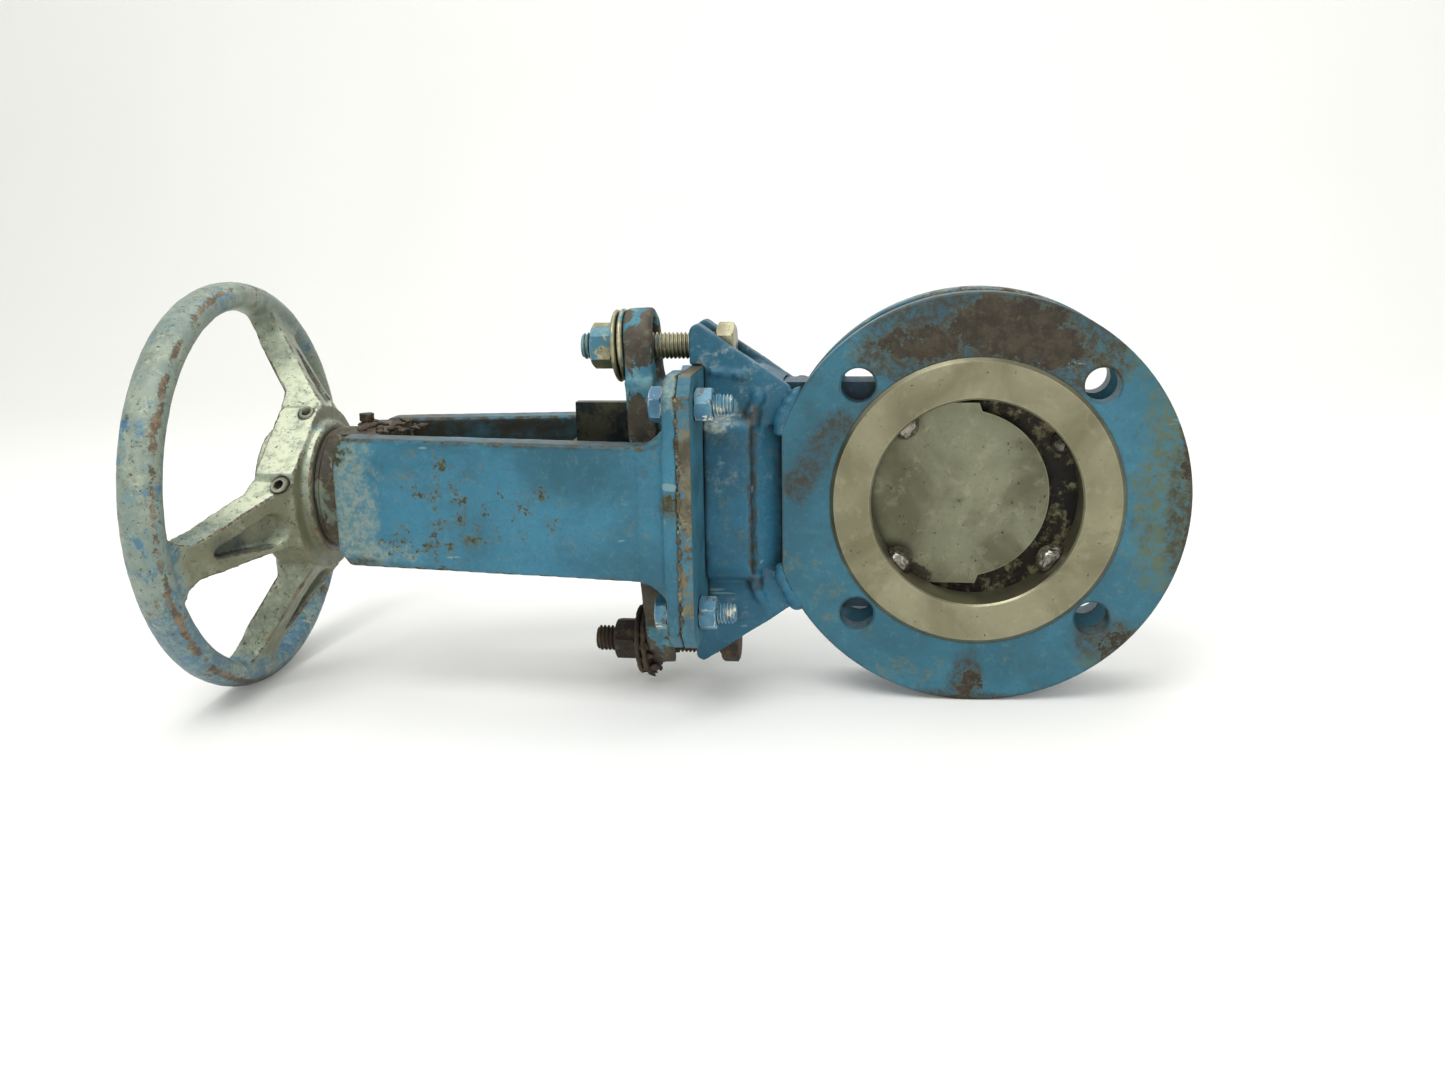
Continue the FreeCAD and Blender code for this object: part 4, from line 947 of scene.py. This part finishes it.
bolt_parts, nut_parts = [], []
bolts_low, bolts_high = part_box("yoke_bolts")
nuts_low, nuts_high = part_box("yoke_bolt_nuts")
HEAD_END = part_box("yoke_bolt_washers")[0].x
for sign_y in (-1, 1):
    for sign_z in (-1, 1):
        centre = (sign_y * YOKE_BOLT_Y, sign_z * YOKE_BOLT_Z)
        turn = 0.1 * sign_z + 0.35 * (sign_y > 0)
        bolt_parts.append(hex_block(bolts_low.x, HEAD_END, FINE_FLATS, centre, turn))
        bolt_parts.append(rod(HEAD_END, nuts_low.x + 1 * MM, THREE_EIGHTHS, centre))
        start = nuts_low.x + 0.5 * MM
        bolt_parts.append(thread(start, bolts_high.x, THREE_EIGHTHS, FINE_PITCH, centre))
        nut_hole = THREE_EIGHTHS + NUT_PLAY
        nut_parts.append(hex_block(nuts_low.x, nuts_high.x, FINE_FLATS, centre, turn + 0.2, nut_hole))
add_piece("yoke_bolts_threaded", bolt_parts, bolt_paint, BODY, "bolt_blue", ("yoke_bolts",), 50)
add_piece("yoke_nuts_forged", nut_parts, bolt_paint, BODY, "bolt_blue", ("yoke_bolt_nuts",), 35)

# ---- stem with its trapezoidal thread
STEM_RADIUS, STEM_LEAD = 10 * MM, 4 * MM
stem_low, stem_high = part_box("stem")
FORK_LENGTH = 24 * MM
fork_start = stem_high.x - FORK_LENGTH
stem_thread = thread(stem_low.x, fork_start - 8 * MM, STEM_RADIUS, STEM_LEAD, (0.0, 0.0),
                     depth=2.2 * MM, flat=0.3, hand=-1, steps=10, tip=2 * MM)
add_piece("stem_threaded", [stem_thread], stem_steel, GATE, "stem_steel")
fork = bpy.data.objects.new("stem_fork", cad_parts["stem"].data.copy())
bpy.context.scene.collection.objects.link(fork)
work = bmesh.new()
work.from_mesh(fork.data)
bmesh.ops.remove_doubles(work, verts=work.verts, dist=0.002 * MM)
bmesh.ops.bisect_plane(work, geom=work.verts[:] + work.edges[:] + work.faces[:],
                       plane_co=(fork_start - 8.2 * MM, 0, 0), plane_no=(1, 0, 0), clear_inner=True)
bmesh.ops.holes_fill(work, edges=[e for e in work.edges if e.is_boundary], sides=0)
work.to_mesh(fork.data)
work.free()
finish_piece(fork, stem_steel, GATE, "stem_steel", ("stem",))

# ---- set screws in the hub
HUB_FLAT = 35 * MM
SCREW_ANGLES, SCREW_RADIUS, SCREW_TIP = (99.6, 167.4), 3.75 * MM, 18.4 * MM
SOCKET_RADIUS, SOCKET_DEPTH = 2.1 * MM, 4.0 * MM


def socket_screw(angle, x):
    """Set screw along a radius of the hub: cupped tip, hex socket, chamfered top on its flat."""
    a = math.radians(angle)
    out = Vector((0, math.cos(a), math.sin(a)))
    side = Vector((0, -math.sin(a), math.cos(a)))
    flat_normal = Vector(FLAT_NORMAL)

    def at(reach, on_flat, radius, hexed, k):
        """Point k of a ring at a reach along the screw, or level with the flat where on_flat is given."""
        t = 2 * math.pi * k / AROUND
        size = hex_radius(2 * radius)(t) if hexed else radius
        point = Vector((x, 0, 0)) + Vector((1, 0, 0)) * size * math.cos(t) + side * size * math.sin(t)
        if on_flat:
            reach = (on_flat - point.dot(flat_normal)) / out.dot(flat_normal)
        return tuple(point + out * reach)

    top = HUB_FLAT - 0.15 * MM
    outline = ((SCREW_TIP + 0.8 * MM, 0, SCREW_RADIUS * 0.45, False),
               (SCREW_TIP, 0, SCREW_RADIUS * 0.6, False),
               (SCREW_TIP + 1.2 * MM, 0, SCREW_RADIUS, False), (0, top - 0.7 * MM, SCREW_RADIUS, False),
               (0, top, SCREW_RADIUS - 0.6 * MM, False), (0, top, SOCKET_RADIUS + 0.35 * MM, False),
               (0, top - 0.4 * MM, SOCKET_RADIUS, True), (0, top - SOCKET_DEPTH, SOCKET_RADIUS, True))
    return lofted([[at(*row, k) for k in range(AROUND)] for row in outline])


screw_low, screw_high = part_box("set_screws")
screw_x = (screw_low.x + screw_high.x) / 2
screws = [socket_screw(angle, screw_x) for angle in SCREW_ANGLES]
add_piece("socket_screws", screws, black_oxide, WHEEL, "black_oxide", ("set_screws",), 30)

# ---- weld beads
NECK_X = BOX_HIGH.x
CHORD_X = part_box("front_flange")[0].x
beads = []
for side in (-1, 1):
    for up in (-1, 1):
        beads.append(bead([(CHORD_X - 0.5 * MM, side * 0.02, up * 0.03),
                           (CHORD_X - 0.5 * MM, side * 0.0205, up * 0.038),
                           (-0.0845, side * 0.0205, up * 0.0462), (-0.08, side * 0.0195, up * 0.053)],
                          3.6 * MM, 9 + side * 2 + up, 5.0 * MM))
        beads.append(bead([(NECK_X + 0.2 * MM, side * 0.0215, up * 0.034),
                           (NECK_X + 1.2 * MM, side * 0.0185, up * 0.044),
                           (NECK_X + 5 * MM, side * 0.017, up * 0.052)],
                          3.0 * MM, 5 + side + up, 6.0 * MM))
        beads.append(bead([(BOX_LOW.x + 2 * MM, side * 0.018, up * 0.06),
                           (NECK_X - 1 * MM, side * 0.018, up * 0.0575)],
                          2.2 * MM, 15 + side + up, 6.0 * MM))
casting(("stuffing_box", "upper_gland_bracket", "lower_gland_bracket", "neck_plates"), "welded_chest",
        body_blue, BODY, "blue_paint", 0.9, 6, 0.28, 10, 6.0, beads)

# ---- crust along the joint of yoke feet and box flange
def seam_crust():
    """Ragged line of dried soil on the joint, broken in places."""
    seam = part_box("box_flange")[0].x
    half_y, half_z = (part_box("box_flange")[1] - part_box("box_flange")[0]).yz / 2
    crumbs = []
    chance = np.random.default_rng(11)
    for side in (-1, 1):
        reach = -0.052
        while reach < 0.052:
            size = chance.uniform(0.5, 1.3) * MM
            if chance.random() < 0.8:
                place = (seam + chance.uniform(-0.4, 0.4) * MM, side * (half_y - 0.25 * MM), reach)
                crumbs.append(lump(place, size, reach * 900, 1.3, 6, 9))
            reach += size * chance.uniform(1.2, 2.4)
    for side in (-1, 1):
        for start, stop in ((-0.052, -0.034), (0.034, 0.052)):
            reach = start
            while reach < stop:
                size = chance.uniform(0.5, 1.1) * MM
                place = (seam, reach, side * (half_z - 0.25 * MM))
                crumbs.append(lump(place, size, reach * 700, 0.8, 6, 9))
                reach += size * chance.uniform(1.2, 2.4)
    add_piece("seam_crust", crumbs, crust, BODY, angle=None)


def gland_crust():
    """Flaking rust heaped on the lower washers and on the ear behind them."""
    centre = middle("lower_gland_washers")
    chance = np.random.default_rng(23)
    flakes = []
    for k in range(46):
        turn = chance.uniform(0, 2 * math.pi)
        reach = chance.uniform(0.0118, 0.0172)
        shift = chance.uniform(0.001, 0.0072)
        place = (centre.x + shift, centre.y + reach * math.cos(turn), centre.z + reach * math.sin(turn))
        flakes.append(lump(place, chance.uniform(0.9, 2.4) * MM, k * 1.3, 0.8, 6, 9, 0.9))
    add_piece("gland_rust_flakes", flakes, dark_rust, BODY, angle=None)


gland_crust()
crust = rusty("seam_dirt", 4.1, tones=((54, 48, 34), (92, 86, 64), (142, 138, 112)),
              patch=(BLUE_DEEP, BLUE_PALE), amount=0.5)
seam_crust()

# ---- grease and grit on the nose
clods = []
fitting = middle("grease_fitting")
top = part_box("bearing_housing")[1].z
rng = np.random.default_rng(4)
for k in range(34):
    x = fitting.x + rng.uniform(-0.004, 0.03)
    y = rng.uniform(-0.02, 0.02)
    size = rng.uniform(0.7, 2.4) * MM
    clods.append(lump((x, y, top + size * 0.25), size, k * 1.7, 0.55, 8, 12))
clods.append(lump((fitting.x, fitting.y, top + 0.6 * MM), 4.6 * MM, 3.3, 0.5))
for k in range(12):
    a = rng.uniform(0, 2 * math.pi)
    clods.append(lump((ARM_LOW.x + rng.uniform(0.018, 0.026), 0.016 * math.cos(a), 0.024 * math.sin(a)),
                      rng.uniform(1.5, 3.2) * MM, k * 2.3, 0.9, 8, 12))
add_piece("nose_grease", clods, old_grease, BODY, angle=None)

# ---- camera
CAMERA_PLACE = Vector((-0.03396, -0.62521, 0.13273))
YAW, PITCH, ROLL = math.radians(-7.87), math.radians(14.104), math.radians(-1.058)
LENS = 33.066


def camera_axes(yaw, pitch, roll):
    forward = Vector((math.sin(yaw) * math.cos(pitch), math.cos(yaw) * math.cos(pitch),
                      -math.sin(pitch)))
    right = Vector((math.cos(yaw), -math.sin(yaw), 0.0))
    up = right.cross(forward)
    return (right * math.cos(roll) + up * math.sin(roll), up * math.cos(roll) - right * math.sin(roll),
            forward)


right, up, forward = camera_axes(YAW, PITCH, ROLL)
lens = bpy.data.cameras.new("camera")
lens.lens = LENS
lens.sensor_width = 36.0
camera = bpy.data.objects.new("camera", lens)
camera_turn = Matrix((right, up, -forward)).transposed().to_4x4()
camera.matrix_world = Matrix.Translation(CAMERA_PLACE) @ camera_turn
bpy.context.scene.collection.objects.link(camera)
bpy.context.scene.camera = camera

# ---- floor, backdrop and light
FLANGE_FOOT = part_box("front_flange")[0].z
WHEEL_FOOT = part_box("handwheel")[0].z
SHEET_GLOW = 0.1
SHEET_LEAN = math.atan((FLANGE_FOOT - WHEEL_FOOT) / -RIM_X)


def sweep():
    """Floor that turns up into a wall behind, as one smooth sheet."""
    depth, bend, height, half = 1.5, 0.5, 2.6, 5.0
    profile = [(-4.0, 0.0), (depth - bend, 0.0)]
    for k in range(1, 17):
        a = math.pi / 2 * k / 16
        profile.append((depth - bend + bend * math.sin(a), bend - bend * math.cos(a)))
    profile.append((depth, height))
    points = [(x, y, z) for y, z in profile for x in (-half, half)]
    faces = [(2 * i, 2 * i + 1, 2 * i + 3, 2 * i + 2) for i in range(len(profile) - 1)]
    made = piece_from("floor_sheet", points, faces)
    for face in made.data.polygons:
        face.use_smooth = True
    made.matrix_world = Matrix.Translation((0, 0, FLANGE_FOOT)) @ Matrix.Rotation(-SHEET_LEAN, 4, "Y")
    s = Shader("pale_sheet")
    s.colour = s.mix(s.noise(3, 3, 0.5), (236, 236, 233), (242, 242, 239))
    made.data.materials.append(s.done(Roughness=s.varied((40, 3, 0.5), 0.1, 0.6),
                                      Emission_Color=s.colour, Emission_Strength=SHEET_GLOW))


sweep()


def area_light(name, place, target, size, power):
    data = bpy.data.lights.new(name, "AREA")
    data.shape = "DISK"
    data.size = size
    data.energy = power
    made = bpy.data.objects.new(name, data)
    made.location = place
    made.rotation_euler = (Vector(target) - Vector(place)).to_track_quat("-Z", "Y").to_euler()
    bpy.context.scene.collection.objects.link(made)


area_light("key", (-0.5, -0.9, 1.5), (-0.1, 0.0, 0.0), 1.1, 17)
area_light("fill", (0.9, -1.1, 0.7), (0.0, 0.0, 0.0), 1.0, 5)
area_light("front", (0.15, -1.6, 0.25), (0.02, 0.0, 0.0), 0.9, 1.3)
area_light("top", (-0.1, 0.4, 1.7), (-0.1, 0.0, 0.0), 1.6, 12)

world = bpy.data.worlds.new("studio")
world.use_nodes = True
world.node_tree.nodes["Background"].inputs["Color"].default_value = srgb(250, 250, 248)
world.node_tree.nodes["Background"].inputs["Strength"].default_value = 0.55
bpy.context.scene.world = world
bpy.context.scene.view_settings.view_transform = "Standard"
